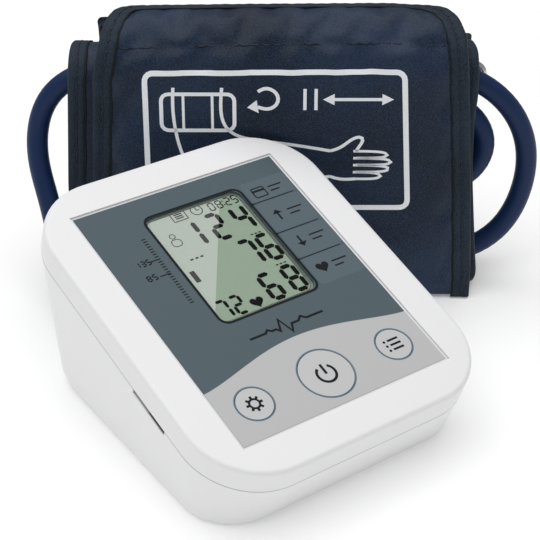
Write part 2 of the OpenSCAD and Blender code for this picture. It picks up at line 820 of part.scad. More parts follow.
module batteries() {
    nub_l = 1.3;
    color("goldenrod") each_cell() translate([0, (spring_room - cell_l) / 2, 0]) rotate([-90, 0, 0]) {
        cylinder(r = cell_r, h = cell_l - nub_l);
        translate([0, 0, cell_l - nub_l - join]) cylinder(r = 2.7, h = nub_l + join);
    }
}

module battery_springs() {
    turns = 4;
    steps = 9;
    y0 = -bay_l / 2 + plate_t + 0.35;
    reach = spring_room - 0.7 + nub_gap;
    path = [for (i = [0:turns * steps]) let (a = i * 360 / steps, f = i / (turns * steps), r = 5 - 2.2 * f)
        [r * cos(a), y0 + reach * f, r * sin(a)]];
    color("silver") each_cell() swept(path, 0.35, 5, [0, 1, 0]);
}

module battery_contacts() {
    y1 = bay_l / 2 - plate_t;
    height = 11;
    color("silver") translate([0, bay_y + bay_l / 2, cell_z - height / 2]) {
        for (x = [-cell_pitch, cell_pitch]) translate([x, y1 + plate_t / 2, 0])
            block(cell_pitch + 9, plate_t, height);
        translate([0, -y1 - plate_t / 2, 0]) block(cell_pitch + 9, plate_t, height);
        for (x = [-1.5, 1.5]) translate([x * cell_pitch, -y1 - plate_t / 2, 0]) block(9, plate_t, height);
    }
}

module battery_door() {
    y0 = bay_y - ledge + door_gap;
    color("whitesmoke") {
        difference() {
            translate([0, bay_y + bay_l / 2, foot_gap]) block(door_w, door_l, door_t);
            // Grip grooves
            for (i = [0:4]) translate([-8, y0 + door_l - 8 - 2.4 * i, foot_gap - 1])
                cube([16, 1, 1.5]);
        }
        // Latch at the rear edge
        translate([-latch_w / 2, y0 + door_l - join, foot_gap]) cube([latch_w, 2.4, door_t]);
        translate([-latch_w / 2, y0 + door_l + 0.9, foot_gap + door_t - join]) cube([latch_w, 1.2, 1.6]);
        // Tongues that hook over the front edge of the opening
        for (x = [-tongue_x, tongue_x]) translate([x - tongue_w / 2, 0, 0]) {
            translate([0, y0, foot_gap + door_t - join])
                cube([tongue_w, 1.6, floor_z - foot_gap - door_t + 1.6 + join]);
            translate([0, y0 - door_gap - tongue_reach, floor_z + 0.3])
                cube([tongue_w, tongue_reach + door_gap + 1, 1.3]);
        }
    }
}

module case_screws() {
    color("silver") for (p = screw_places) translate([p[0], p[1], boss_z(p[1]) - seat_t]) {
        difference() {
            translate([0, 0, -2.2]) cylinder(r = 2.8, h = 2.2);
            translate([-0.4, -2, -3]) cube([0.8, 4, 1.9]);
            translate([-2, -0.4, -3]) cube([4, 0.8, 1.9]);
        }
        cylinder(r = screw_r, h = seat_t + screw_bite);
    }
}

module rubber_feet() {
    color("dimgray") for (p = foot_places) translate([p[0], p[1], 0])
        cylinder(r = foot_r, h = foot_gap + foot_sink);
}

module hose_plug() {
    color("midnightblue") {
        translate([socket_x, socket_y - socket_in + 2.5, socket_z]) rotate([-90, 0, 0])
            cylinder(r = socket_bore_r - plug_gap, h = grip_y - socket_y + socket_in - 2.5 + join);
        difference() {
            translate([socket_x, grip_y, socket_z]) rotate([-90, 0, 0]) cylinder(r = grip_r, h = grip_l);
            // Finger grooves
            for (i = [0:2]) translate([socket_x, grip_y + 2.5 + 2.6 * i, socket_z]) rotate([-90, 0, 0])
                difference() {
                    cylinder(r = grip_r + 1, h = 1.2);
                    translate([0, 0, -1]) cylinder(r = grip_r - 0.5, h = 4);
                }
        }
    }
}

module hose() {
    start = to_cuff([socket_x, hose_y, socket_z]);
    lead = [for (y = [4, 12]) to_cuff([socket_x, hose_y + y, socket_z])];
    finish = [port_s + port_l, port_w + cuff_lean * port_z, port_z];
    all = concat([start], lead, route, [finish + [6, 0, 0], finish]);
    color("navy") in_cuff() swept(smooth(all, 2), hose_r, 10, [0, 0, 1]);
}

// Middle line of the outer turn of the cuff, from its free end at the front to the table
function outer_turn() = concat([[front_w, tail_z]],
    arc([front_w + top_r, top_z], top_r, 180, 0, 12),
    arc([back_w - bottom_r, bottom_r + cuff_t / 2], bottom_r, 0, -90, 4),
    [[front_w + top_r, cuff_t / 2]]);

// Middle line of the inner turn, from the table up the front and over to its end
function inner_turn() = concat([[front_w + top_r, cuff_t / 2]],
    arc([inner_front_w + bottom_r, bottom_r + cuff_t / 2], bottom_r, -90, -180, 4),
    arc([inner_front_w + inner_r, inner_z], inner_r, 180, inner_end, 10));

// Outline of a strip of thickness t along a middle line of [w, z] points
function across(p, i) = let (d = unit(p[min(i + 1, len(p) - 1)] - p[max(i - 1, 0)])) [-d[1], d[0]];
function strip(p, t) = concat([for (i = [0:len(p) - 1]) p[i] + across(p, i) * t / 2],
    [for (i = [len(p) - 1:-1:0]) p[i] - across(p, i) * t / 2]);

// Strip carried across the cuff from s0 to s1
module roll(p, t, s0, s1) {
    translate([s0, 0, 0]) rotate([90, 0, 90]) linear_extrude(s1 - s0)
        polygon([for (q = strip(p, t)) [q[0] + cuff_lean * q[1], q[1]]]);
}

// Slice of the space between two leaning edges, as [s at the table, s at the top]
module between(left, right) {
    top = top_z + top_r + 4;
    translate([0, back_w + 15, 0]) rotate([90, 0, 0]) linear_extrude(60)
        polygon([[left[0], -1], [right[0], -1], [right[1], top], [left[1], top]]);
}

function shifted(edge, d) = [edge[0] + d, edge[1] + d];

// The same line moved sideways through the layers, away from the arm
function beside(p, d) = [for (i = [0:len(p) - 1]) p[i] + across(p, i) * d];

module cuff_band() {
    color("darkslateblue") in_cuff() {
        intersection() {
            roll(outer_turn(), cuff_t, -100, 100);
            between(shifted(cuff_left, binding_w), shifted(cuff_right, -binding_w));
        }
        intersection() {
            roll(beside(inner_turn(), (cuff_t - cloth_t) / 2), cloth_t, -100, 100);
            between(shifted(inner_left, binding_w), shifted(inner_right, -binding_w));
        }
    }
}

module cuff_lining() {
    line = beside(inner_turn(), (lining_t - cuff_t) / 2);
    color("slateblue") in_cuff() intersection() {
        roll([for (i = [3:len(line) - 1]) line[i]], lining_t, -100, 100);
        between(shifted(inner_left, binding_w), shifted(inner_right, -binding_w));
    }
}

module cuff_bladder() {
    line = concat([[inner_front_w, 14]], arc([inner_front_w + inner_r, inner_z], inner_r, 180, 60, 7));
    shift = (lining_t - cloth_t) / 2;
    color("gray") in_cuff()
        roll(beside(line, shift), cuff_t - cloth_t - lining_t - 0.16, bladder_s[0], bladder_s[1]);
}

module cuff_binding() {
    t = cuff_t + 2 * binding_t;
    color("darkslategray") in_cuff() {
        for (e = [[cuff_left, shifted(cuff_left, binding_w)],
            [shifted(cuff_right, -binding_w), cuff_right]])
            intersection() {
                translate([0, 0, binding_t]) roll(outer_turn(), t, -100, 100);
                between(e[0], e[1]);
            }
        for (e = [[inner_left, shifted(inner_left, binding_w)],
            [shifted(inner_right, -binding_w), inner_right]])
            intersection() {
                translate([0, 0, binding_t]) roll(inner_turn(), t, -100, 100);
                between(e[0], e[1]);
            }
    }
}

module hook_patch() {
    color("dimgray") in_cuff()
        roll([for (z = hook_z) [front_w + cuff_t / 2 + patch_gap + patch_t / 2, z]], patch_t,
            hook_s[0], hook_s[1]);
}

module loop_patch() {
    color("darkslategray") in_cuff()
        roll([for (z = loop_z) [inner_front_w - cuff_t / 2 - patch_gap - patch_t / 2, z]], patch_t,
            loop_s[0], loop_s[1]);
}

module hose_port() {
    face = inner_front_w + cuff_t / 2;
    color("midnightblue") in_cuff() translate([port_s, cuff_lean * port_z, port_z]) {
        translate([0, face + 0.02, 0]) rotate([-90 - lean_angle, 0, 0]) cylinder(r = 8, h = 1.2);
        translate([0, face + 0.6, 0]) rotate([-90, 0, 0]) cylinder(r = 3.2, h = port_w - face - 0.6);
        translate([0, port_w, 0]) sphere(r = 3.2);
        translate([0, port_w, 0]) rotate([0, 90, 0]) cylinder(r = 3.2, h = port_l);
    }
}

// Half of the metal ring's round corner
module ring_corner(s, z, a) {
    translate([s, ring_w, z]) rotate([90, 0, 0]) rotate([0, 0, a])
        rotate_extrude(angle = 90) translate([4, 0]) circle(r = ring_r, $fn = 24);
}

module cuff_ring() {
    z1 = ring_axis_z;
    z0 = ring_axis_z - ring_h + 2 * ring_r;
    s0 = ring_s[0] + ring_r;
    s1 = ring_s[1] - ring_r;
    color("silver") in_cuff() {
        for (z = [z0, z1]) translate([s0 + 4, ring_w, z]) rotate([0, 90, 0])
            cylinder(r = ring_r, h = s1 - s0 - 8, $fn = 24);
        for (s = [s0, s1]) translate([s, ring_w, z0 + 4]) cylinder(r = ring_r, h = z1 - z0 - 8, $fn = 24);
        ring_corner(s1 - 4, z1 - 4, 0);
        ring_corner(s0 + 4, z1 - 4, 90);
        ring_corner(s0 + 4, z0 + 4, 180);
        ring_corner(s1 - 4, z0 + 4, 270);
    }
}

module ring_strap() {
    hole = ring_r + 0.05;
    color("darkslategray") in_cuff() translate([strap_s[0], ring_w, 0]) rotate([90, 0, 90])
        linear_extrude(strap_s[1] - strap_s[0]) difference() {
            union() {
                translate([0, ring_axis_z]) circle(r = hole + 1.1);
                translate([-0.3, ring_axis_z + hole]) square([2, strap_top_z - ring_axis_z - hole]);
            }
            translate([0, ring_axis_z]) circle(r = hole);
        }
}

placed() top_cover();
placed() bottom_case();
placed() display_panel();
placed() display_window();
placed() set_button();
placed() power_button();
placed() memory_button();
placed() lcd_glass();
placed() lcd_holder();
placed() lcd_connector();
placed() main_board();
placed() board_screws();
placed() button_switches();
placed() controller_chips();
placed() buzzer();
placed() pressure_sensor();
placed() pump_motor();
placed() pump_shaft();
placed() pump_housing();
placed() pump_diaphragm();
placed() pump_valve_cover();
placed() valve_body();
placed() valve_plunger();
placed() valve_spring();
placed() valve_cap();
placed() air_tee();
placed() air_tubes();
placed() air_socket();
placed() usb_port();
placed() power_board();
placed() batteries();
placed() battery_springs();
placed() battery_contacts();
placed() battery_door();
placed() case_screws();
placed() rubber_feet();
placed() hose_plug();
placed() hose();
placed() cuff_band();
placed() cuff_lining();
placed() cuff_binding();
placed() cuff_bladder();
placed() hook_patch();
placed() loop_patch();
placed() hose_port();
placed() cuff_ring();
placed() ring_strap();
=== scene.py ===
# %% [markdown]
# # Upper arm blood pressure monitor, with its hose and its rolled cuff
# The CAD frame gives every hard piece its place. This file gives the set its looks: smooth case shells,
# the printed panel, the display, the hose, and the cloth of the cuff, whose skin is simulated and then kept
# close to the form of the CAD piece. The frame is in metres, panel and cuff coordinates are in millimetres.

import bpy
import math
import numpy as np
from mathutils import Matrix, Vector


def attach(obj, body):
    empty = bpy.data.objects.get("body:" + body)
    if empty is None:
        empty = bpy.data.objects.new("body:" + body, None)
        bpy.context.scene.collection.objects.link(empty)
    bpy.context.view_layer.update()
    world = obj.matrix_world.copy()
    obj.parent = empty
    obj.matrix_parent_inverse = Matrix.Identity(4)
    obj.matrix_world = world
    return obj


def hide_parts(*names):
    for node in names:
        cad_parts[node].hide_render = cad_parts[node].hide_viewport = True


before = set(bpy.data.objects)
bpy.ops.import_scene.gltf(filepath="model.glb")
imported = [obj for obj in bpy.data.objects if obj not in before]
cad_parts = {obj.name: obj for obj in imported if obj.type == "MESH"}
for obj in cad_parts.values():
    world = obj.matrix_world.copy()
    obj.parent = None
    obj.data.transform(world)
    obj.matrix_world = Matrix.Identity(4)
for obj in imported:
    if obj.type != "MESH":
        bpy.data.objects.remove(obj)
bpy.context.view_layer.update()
MM = 0.001

# %% [markdown]
# ## Camera
# The camera was fitted to the photo: a long lens, 31 degrees down and 36 degrees to the side.

# %% Camera
AZIMUTH, ELEVATION = math.radians(-36.447), math.radians(30.625)
right = np.array([math.cos(AZIMUTH), math.sin(AZIMUTH), 0.0])
ahead = np.array([
    -math.sin(AZIMUTH) * math.cos(ELEVATION),
    math.cos(AZIMUTH) * math.cos(ELEVATION),
    -math.sin(ELEVATION),
])
above = np.cross(right, ahead)
EYE = np.array([-0.28859, -0.37852, 0.30656])

camera_data = bpy.data.cameras.new("camera")
camera_data.lens = 100.87
camera_data.sensor_width = 36
camera_data.clip_end = 20
camera = bpy.data.objects.new("camera", camera_data)
bpy.context.scene.collection.objects.link(camera)
camera.matrix_world = Matrix([[*r, 0] for r in np.column_stack([right, above, -ahead])] + [[0, 0, 0, 1]])
camera.location = EYE
bpy.context.scene.camera = camera
print("camera at", EYE, "looking", ahead.round(3))


# %% Materials: a small wrapper for node sockets
class Value:
    """A node socket that takes part in sums: each operator adds one Math node."""

    def __init__(self, paint, socket):
        self.paint, self.socket = paint, socket

    def math(self, kind, *others):
        """One Math node of that kind, with this value first."""
        return self.paint.node("ShaderNodeMath", {"operation": kind}, self, *others)

    def __add__(self, other):
        return self.math("ADD", other)

    def __sub__(self, other):
        return self.math("SUBTRACT", other)

    def __mul__(self, other):
        return self.math("MULTIPLY", other)

    def __pow__(self, other):
        return self.math("POWER", other)

    def __rsub__(self, other):
        return self.paint.node("ShaderNodeMath", {"operation": "SUBTRACT"}, other, self)

    def step(self, edge, soft):
        """0 below edge, 1 above it, with a soft change over that width."""
        smooth = {"interpolation_type": "SMOOTHSTEP"}
        return self.paint.node("ShaderNodeMapRange", smooth, self, edge - soft / 2, edge + soft / 2, 0.0, 1.0)


class Paint:
    """A material under construction. Constants go straight on sockets."""

    def __init__(self, name, colour, roughness=0.5, metallic=0.0, coat=0.0, alpha=1.0):
        self.material = bpy.data.materials.new(name)
        self.material.use_nodes = True
        self.tree = self.material.node_tree
        self.shader = self.tree.nodes["Principled BSDF"]
        self.set("Base Color", colour)
        self.set("Roughness", roughness)
        self.set("Metallic", metallic)
        self.set("Coat Weight", coat)
        self.set("Alpha", alpha)

    def put(self, socket, value):
        """Links a Value to an input socket, or writes a constant on it."""
        if isinstance(value, Value):
            self.tree.links.new(value.socket, socket)
        elif isinstance(value, (tuple, list)) and len(value) == 3 and socket.type == "RGBA":
            socket.default_value = (*value, 1.0)
        else:
            socket.default_value = value

    def set(self, name, value):
        """Sets one input of the Principled shader."""
        self.put(self.shader.inputs[name], value)

    def node(self, kind, settings, *values, out=0, **named):
        """Adds one node, sets its options and inputs, and returns one of its outputs."""
        made = self.tree.nodes.new(kind)
        for key, setting in settings.items():
            setattr(made, key, setting)
        for i, value in enumerate(values):
            self.put(made.inputs[i], value)
        for key, value in named.items():
            self.put(made.inputs[key.replace("_", " ")], value)
        return Value(self, made.outputs[out])

    def place(self):
        """The point being shaded, in Object coordinates: metres in the row frame."""
        object_output = 3
        return self.node("ShaderNodeTexCoord", {}, out=object_output)

    def parts(self, vector):
        """The three parts of a vector."""
        split = self.tree.nodes.new("ShaderNodeSeparateXYZ")
        self.put(split.inputs[0], vector)
        return [Value(self, split.outputs[i]) for i in range(3)]

    def noise(self, scale, detail=2.0):
        """Noise between 0 and 1, with about that many waves in a metre."""
        return self.node("ShaderNodeTexNoise", {}, Vector=self.place(), Scale=scale, Detail=detail)

    def mix(self, factor, a, b):
        """Colour a where factor is 0, b where it is 1."""
        made = self.tree.nodes.new("ShaderNodeMix")
        made.data_type = "RGBA"
        self.put(made.inputs[0], factor)
        self.put(made.inputs[6], a)
        self.put(made.inputs[7], b)
        return Value(self, made.outputs[2])

    def bump(self, height, strength=0.5, distance=0.0002):
        """Turns a height into a small change of the surface's direction."""
        made = self.tree.nodes.new("ShaderNodeBump")
        self.put(made.inputs["Height"], height)
        made.inputs["Strength"].default_value = strength
        made.inputs["Distance"].default_value = distance
        self.set("Normal", Value(self, made.outputs[0]))


def shade(value):
    """The linear value of an 8-bit screen value."""
    c = value / 255
    return c / 12.92 if c <= 0.04045 else ((c + 0.055) / 1.055) ** 2.4


def rgb(*values):
    """The linear colour of 8-bit screen values."""
    return tuple(shade(v) for v in values)


print("shade of 192:", round(shade(192), 3))

# %% [markdown]
# ## Mesh helpers
# Surfaces are worked out with arrays and then handed to Blender in one go.

# %% Mesh helpers
def add(name, points, faces, material, body, smooth=True, slot=None):
    """A mesh object from points in the row frame, riding on one CAD body."""
    mesh = bpy.data.meshes.new(name)
    mesh.from_pydata(np.asarray(points, float).tolist(), [], [list(map(int, f)) for f in faces])
    mesh.validate()
    mesh.update()
    mesh.polygons.foreach_set("use_smooth", [smooth] * len(mesh.polygons))
    mesh.materials.append(material)
    made = bpy.data.objects.new(name, mesh)
    bpy.context.scene.collection.objects.link(made)
    if body:
        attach(made, body)
    return made


def grid_faces(rows, columns, close_rows=False, close_columns=False):
    """Quads of a grid whose point (i, j) has the number i * columns + j. Either way round can be closed."""
    i = np.arange(rows if close_rows else rows - 1)[:, None]
    j = np.arange(columns if close_columns else columns - 1)[None, :]
    a = i * columns + j
    b = i * columns + (j + 1) % columns
    c = (i + 1) % rows * columns + (j + 1) % columns
    d = (i + 1) % rows * columns + j
    return np.stack([a, b, c, d], -1).reshape(-1, 4)


def join_parts(parts):
    """Several (points, faces) as one."""
    points, faces, start = [], [], 0
    for p, f in parts:
        points.append(np.asarray(p, float))
        faces.extend([[int(k) + start for k in face] for face in f])
        start += len(p)
    return np.vstack(points), faces


def tube(path, radius, sides=16, side=(0, 0, 1)):
    """A closed round tube along a path: each ring is turned from the last one without twist."""
    path = np.asarray(path, float)
    heading = np.gradient(path, axis=0)
    heading /= np.linalg.norm(heading, axis=1)[:, None]
    radius = np.broadcast_to(radius, len(path))
    across, u = [], np.asarray(side, float)
    for t in heading:
        u = u - (u @ t) * t
        u = u / np.linalg.norm(u)
        across.append(u)
    across = np.array(across)
    other = np.cross(heading, across)
    angle = np.linspace(0, 2 * np.pi, sides, endpoint=False)
    ring = across[:, None] * np.cos(angle)[:, None] + other[:, None] * np.sin(angle)[:, None]
    points = (path[:, None] + ring * radius[:, None, None]).reshape(-1, 3)
    faces = grid_faces(len(path), sides, close_columns=True).tolist()
    last = sides * (len(path) - 1)
    return points, [list(range(sides))[::-1]] + faces + [list(range(last, last + sides))]


def spline(points, steps):
    """Uniform cubic B-spline through the neighbourhood of the points, with both ends held."""
    p = np.asarray(points, float)
    q = np.vstack([p[:1], p[:1], p, p[-1:], p[-1:]])
    t = np.linspace(0, 1, steps, endpoint=False)[:, None]
    weights = [(1 - t) ** 3, 3 * t**3 - 6 * t**2 + 4, -3 * t**3 + 3 * t**2 + 3 * t + 1, t**3]
    spans = [sum(w * q[i + k] for k, w in enumerate(weights)) / 6 for i in range(len(q) - 3)]
    return np.vstack(spans + [p[-1:]])


def smooth_cad(name, angle=32):
    """Shades a CAD node's curved faces smoothly and leaves its edges sharp."""
    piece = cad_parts[name]
    piece.data.polygons.foreach_set("use_smooth", [True] * len(piece.data.polygons))
    weld = piece.modifiers.new("weld", "WELD")
    weld.merge_threshold = 1e-6
    split = piece.modifiers.new("split", "EDGE_SPLIT")
    split.split_angle = math.radians(angle)
    even = piece.modifiers.new("even", "WEIGHTED_NORMAL")
    even.keep_sharp = True
    return piece


# %% [markdown]
# ## The three frames of the set
# The case's own frame, the sloping panel (u across, v up the slope, d below the top face), and the cuff
# (s to the camera's right, w away from it, z up).

# %% Frames
SLOPE, TURN, MID_H = math.radians(19.7), math.radians(36.5), 0.0482
CASE = np.array([-0.0393, -0.0343, 0.0])
U = np.array([1.0, 0.0, 0.0])
V = np.array([0.0, math.cos(SLOPE), math.sin(SLOPE)])
N = np.array([0.0, -math.sin(SLOPE), math.cos(SLOPE)])
ALONG = np.array([math.cos(TURN), -math.sin(TURN), 0.0])
BACK = np.array([math.sin(TURN), math.cos(TURN), 0.0])
UP = np.array([0.0, 0.0, 1.0])


def on_panel(u, v, d):
    """Row frame point of panel coordinates in millimetres."""
    u, v, d = (np.asarray(x, float)[..., None] * MM for x in (u, v, d))
    return CASE + MID_H * UP + u * U + v * V - d * N


def in_cuff(s, w, z):
    """Row frame point of cuff coordinates in millimetres."""
    s, w, z = (np.asarray(x, float)[..., None] * MM for x in (s, w, z))
    return CASE + s * ALONG + w * BACK + z * UP


print("middle of the panel", on_panel(0, 0, 0).round(4))

# %% [markdown]
# ## Air hose
# The hose follows the CAD's route: out of the case's rear wall, round the left of the cuff, through the roll,
# round the right of it twice, and to the port of the cuff.

# %% Air hose
hose_paint = Paint("navy_hose", rgb(20, 42, 80), roughness=0.45)
hose_paint.set("Specular IOR Level", 0.22)
hose_paint.bump(hose_paint.noise(900, 3), 0.15, 0.0001)

route = np.array([
    [-74, 68, 17], [-77, 76, 26], [-80, 83, 37], [-84, 88, 50], [-84, 92, 63], [-79, 93, 76], [-67, 93, 85],
    [-50, 93, 87], [-20, 93, 87], [10, 93, 87], [40, 93, 87], [62, 93, 87], [80, 93, 83], [94, 93, 72],
    [102, 93, 56], [102, 93.5, 37], [95, 92, 19.5], [80, 90.5, 9.7], [60, 90.5, 8.7], [48, 90.4, 7.8],
    [36, 89.8, 6.8], [22, 89.8, 11.6], [15, 90.3, 24.3], [22, 90.9, 36.9], [36, 91.2, 42.7], [50, 90.4, 41.7],
    [66, 90.2, 38.8], [80, 90.2, 42.7], [87, 90.9, 56.3], [80, 91.6, 69.9], [66, 91.9, 74.7],
    [50, 91.8, 72.8],
], float)
LEAN = 0.05
port_end = np.array([34, 88 + LEAN * 73, 73])
straight = np.array([[-22, 77.99 + y, 13] for y in (0, 4, 12)])
lead = np.column_stack([
    straight[:, 0] * math.cos(TURN) - straight[:, 1] * math.sin(TURN),
    straight[:, 0] * math.sin(TURN) + straight[:, 1] * math.cos(TURN),
    straight[:, 2],
])
steering = np.vstack([lead, route, [port_end + [6, 0, 0], port_end]])
line = spline(steering, 6)[::-1]
line = in_cuff(*line.T)
line = line[np.r_[True, np.linalg.norm(np.diff(line, axis=0), axis=1) > 1e-7]]
hose = add("air_hose", *tube(line, 0.004, 28), hose_paint.material, "cuff_set", slot="navy_hose")
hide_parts("hose")
line[::2].tolist() + [line[-1].tolist()]

# %% [markdown]
# ## Finishes of the CAD pieces
# White satin plastic, the slate and grey printed film, metal, boards and rubber. The panel's wavy boundary
# between slate and light grey is worked out in the material from the panel's own coordinates.

# %% Finishes

def panel_uvd(paint):
    """The panel coordinates u, v and d of the shaded point, in millimetres."""
    x, y, z = paint.parts(paint.place())
    y, z = y - float(CASE[1]), z - MID_H
    u = (x - float(CASE[0])) * 1000
    v = (y * math.cos(SLOPE) + z * math.sin(SLOPE)) * 1000
    d = (y * math.sin(SLOPE) - z * math.cos(SLOPE)) * 1000
    return u, v, d


def within(value, low, high, soft=0.2):
    """1 where the value lies between low and high."""
    return value.step(low, soft) * (1 - value.step(high, soft))


# The two halves of the case meet in a fine grey line. Shade lies in the side slot, and the walls of the
# display's opening are toned like the display.
CASE_SEAM_D = 9.5
white = Paint("white_plastic", rgb(240, 240, 241), roughness=0.42)
u, v, d = panel_uvd(white)
off_seam = (d - CASE_SEAM_D).math("ABSOLUTE").step(0.2, 0.12)
in_slot = within(u, -53.6, -49) * within(v, -30.9, -12.1) * within(d, 9.3, 12)
in_opening = within(u, -20.4, 20.4) * within(v, -8.6, 43)
plain = white.mix(off_seam, rgb(172, 172, 174), rgb(240, 240, 241))
slot_tone = white.mix(v.step(-21.2, 0.4), rgb(92, 92, 94), rgb(176, 176, 178))
plain = white.mix(in_slot, plain, slot_tone)
white.set("Base Color", white.mix(in_opening, plain, rgb(126, 140, 128)))
white.bump(white.noise(2600, 2), 0.06, 0.00005)

film = Paint("panel_film", rgb(84, 98, 105), roughness=0.45)
film.set("Specular IOR Level", 0.2)


def wave(u):
    """Height of the boundary between the two colours: a shallow hump, a little higher on its right."""
    bend = ((u + 40) * (math.pi / 80.5)).math("SINE")
    return (bend ** 1.4) * 7.0 - 29.2


u, v, d = panel_uvd(film)
light_part = 1 - (v - wave(u)).step(0.0, 0.25)
film_grey, film_slate = rgb(192, 192, 193), rgb(80, 95, 102)
film.set("Base Color", film.mix(light_part, film_slate, film_grey))

key_grey = Paint("key_grey", rgb(197, 197, 198), roughness=0.45)
ring_blue = Paint("ring_blue", rgb(78, 112, 130), roughness=0.5)
dark_mark = Paint("dark_mark", rgb(22, 26, 30), roughness=0.6)
dark_mark.set("Specular IOR Level", 0.15)
window_edge = Paint("window_edge", rgb(22, 28, 32), roughness=0.5)
window_edge.set("Specular IOR Level", 0.12)
steel = Paint("steel", rgb(190, 190, 192), roughness=0.28, metallic=1.0)
bright = Paint("bright_ring", rgb(200, 201, 204), roughness=0.2, metallic=1.0)
board = Paint("board", rgb(24, 92, 52), roughness=0.4, coat=0.4)
black = Paint("black_plastic", rgb(32, 32, 34), roughness=0.5)
grey = Paint("grey_plastic", rgb(122, 124, 128), roughness=0.5)
ivory = Paint("ivory_plastic", rgb(232, 228, 214), roughness=0.5)
rubber = Paint("black_rubber", rgb(48, 48, 50), roughness=0.8)
silicone = Paint("silicone", rgb(222, 222, 216), roughness=0.45)
sleeve = Paint("battery_sleeve", rgb(206, 172, 84), roughness=0.3, metallic=0.6)
navy_plastic = Paint("navy_plastic", rgb(30, 44, 76), roughness=0.4)
pink = Paint("connector_strip", rgb(226, 170, 176), roughness=0.6)
clear = Paint("clear_window", rgb(120, 124, 122), roughness=0.1, alpha=0.012)

finishes = {
    "top_cover bottom_case battery_door": white,
    "display_panel": film,
    "display_window": clear,
    "set_button power_button memory_button": key_grey,
    "lcd_holder pump_housing pump_valve_cover valve_cap air_tee": ivory,
    "lcd_connector": pink,
    "main_board power_board": board,
    "button_switches controller_chips buzzer": black,
    "pressure_sensor air_socket": grey,
    "pump_diaphragm rubber_feet": rubber,
    "air_tubes": silicone,
    "batteries": sleeve,
    "hose_plug hose_port": navy_plastic,
    "cuff_ring": bright,
    "cuff_bladder": rubber,
    "board_screws pump_motor pump_shaft valve_body valve_plunger valve_spring usb_port battery_springs"
    " battery_contacts case_screws": steel,
}
for names, paint in finishes.items():
    for name in names.split():
        piece = smooth_cad(name)
        piece.data.materials.clear()
        piece.data.materials.append(paint.material)
print("finished CAD pieces:", sum(len(n.split()) for n in finishes))

# %% [markdown]
# ## Printed marks
# Every mark is a flat shape in panel coordinates: ribbons along lines, rings, polygons and digits of seven
# segments. The words of such a panel are left out: icons, bars and plain numbers take their places.

# %% Shapes of the marks
def ribbon(points, width, closed=False):
    """A band of that width along a line: each point moves sideways both ways along its mitred normal."""
    p = np.asarray(points, float)
    before = np.roll(p, 1, 0) if closed else np.vstack([2 * p[0] - p[1], p[:-1]])
    after = np.roll(p, -1, 0) if closed else np.vstack([p[1:], 2 * p[-1] - p[-2]])
    a, b = p - before, after - p
    a, b = a / np.linalg.norm(a, axis=1)[:, None], b / np.linalg.norm(b, axis=1)[:, None]
    middle = a + b
    middle = middle / np.linalg.norm(middle, axis=1)[:, None]
    normal = np.column_stack([-middle[:, 1], middle[:, 0]])
    reach = width / 2 / np.maximum((middle * a).sum(1), 0.5)
    both = np.stack([p - normal * reach[:, None], p + normal * reach[:, None]], 1).reshape(-1, 2)
    return both, grid_faces(len(p), 2, close_rows=closed)


def circle(u, v, r, start=0, end=360, n=48):
    """Points of an arc; a full circle leaves its last point out."""
    full = abs(end - start) >= 360
    a = np.radians(np.linspace(start, end, n, endpoint=not full))
    return np.column_stack([u + r * np.cos(a), v + r * np.sin(a)])


def ring(u, v, r, width, n=96):
    """A closed round line."""
    return ribbon(circle(u, v, r, n=n), width, closed=True)


def patch(points):
    """A filled polygon."""
    return np.asarray(points, float), [list(range(len(points)))]


def rounded(u0, v0, u1, v1, r, n=8):
    """Outline of a rectangle with round corners."""
    corners = [(u1 - r, v1 - r, 0), (u0 + r, v1 - r, 90), (u0 + r, v0 + r, 180), (u1 - r, v0 + r, 270)]
    return np.vstack([circle(u, v, r, a, a + 90, n) for u, v, a in corners])


SEGMENTS = {
    "a": (0, 2, 1, 2), "b": (1, 2, 1, 1), "c": (1, 1, 1, 0), "d": (0, 0, 1, 0),
    "e": (0, 1, 0, 0), "f": (0, 2, 0, 1), "g": (0, 1, 1, 1),
}
LIT = ["abcdef", "bc", "abged", "abgcd", "fgbc", "afgcd", "afgedc", "abc", "abcdefg", "abcdfg"]


def digit(number, u, v, w, h, t):
    """A seven-segment digit: a bar with pointed ends for each lit segment."""
    parts = []
    for name in LIT[number]:
        x0, y0, x1, y1 = SEGMENTS[name]
        ends = np.array([
            [u + t / 2 + x0 * (w - t), v + t / 2 + y0 * (h - t) / 2],
            [u + t / 2 + x1 * (w - t), v + t / 2 + y1 * (h - t) / 2],
        ])
        along = (ends[1] - ends[0]) / np.linalg.norm(ends[1] - ends[0])
        side = np.array([-along[1], along[0]]) * t / 2
        gap = along * t * 0.14
        a, b = ends[0] + gap, ends[1] - gap
        point = along * t * 0.42
        parts.append(patch([a, a + point - side, b - point - side, b, b - point + side, a + point + side]))
    return parts


def heart(u, v, size):
    """A heart from one closed curve with a notch above and a point below."""
    t = np.linspace(0, 2 * np.pi, 48, endpoint=False)
    x = 16 * np.sin(t) ** 3
    y = 13 * np.cos(t) - 5 * np.cos(2 * t) - 2 * np.cos(3 * t) - np.cos(4 * t)
    return patch(np.column_stack([u - x * size / 32, v + y * size / 32]))


def mark(name, parts, depth, paint, body, slot=None):
    """Lays flat shapes on the panel at that depth, facing out."""
    flat, faces = join_parts(parts)
    fixed = []
    for f in faces:
        q = flat[f]
        area = (q[:, 0] * np.roll(q[:, 1], -1) - q[:, 1] * np.roll(q[:, 0], -1)).sum()
        fixed.append(f if area > 0 else f[::-1])
    points = on_panel(flat[:, 0], flat[:, 1], np.full(len(flat), depth))
    return add(name, points, fixed, paint.material, body, smooth=False, slot=slot)


# %% [markdown]
# ### Panel print
# Rings round the three keys, the tick scale at the left, the plates and icons at the right, and a pulse line
# where such a panel has its word.

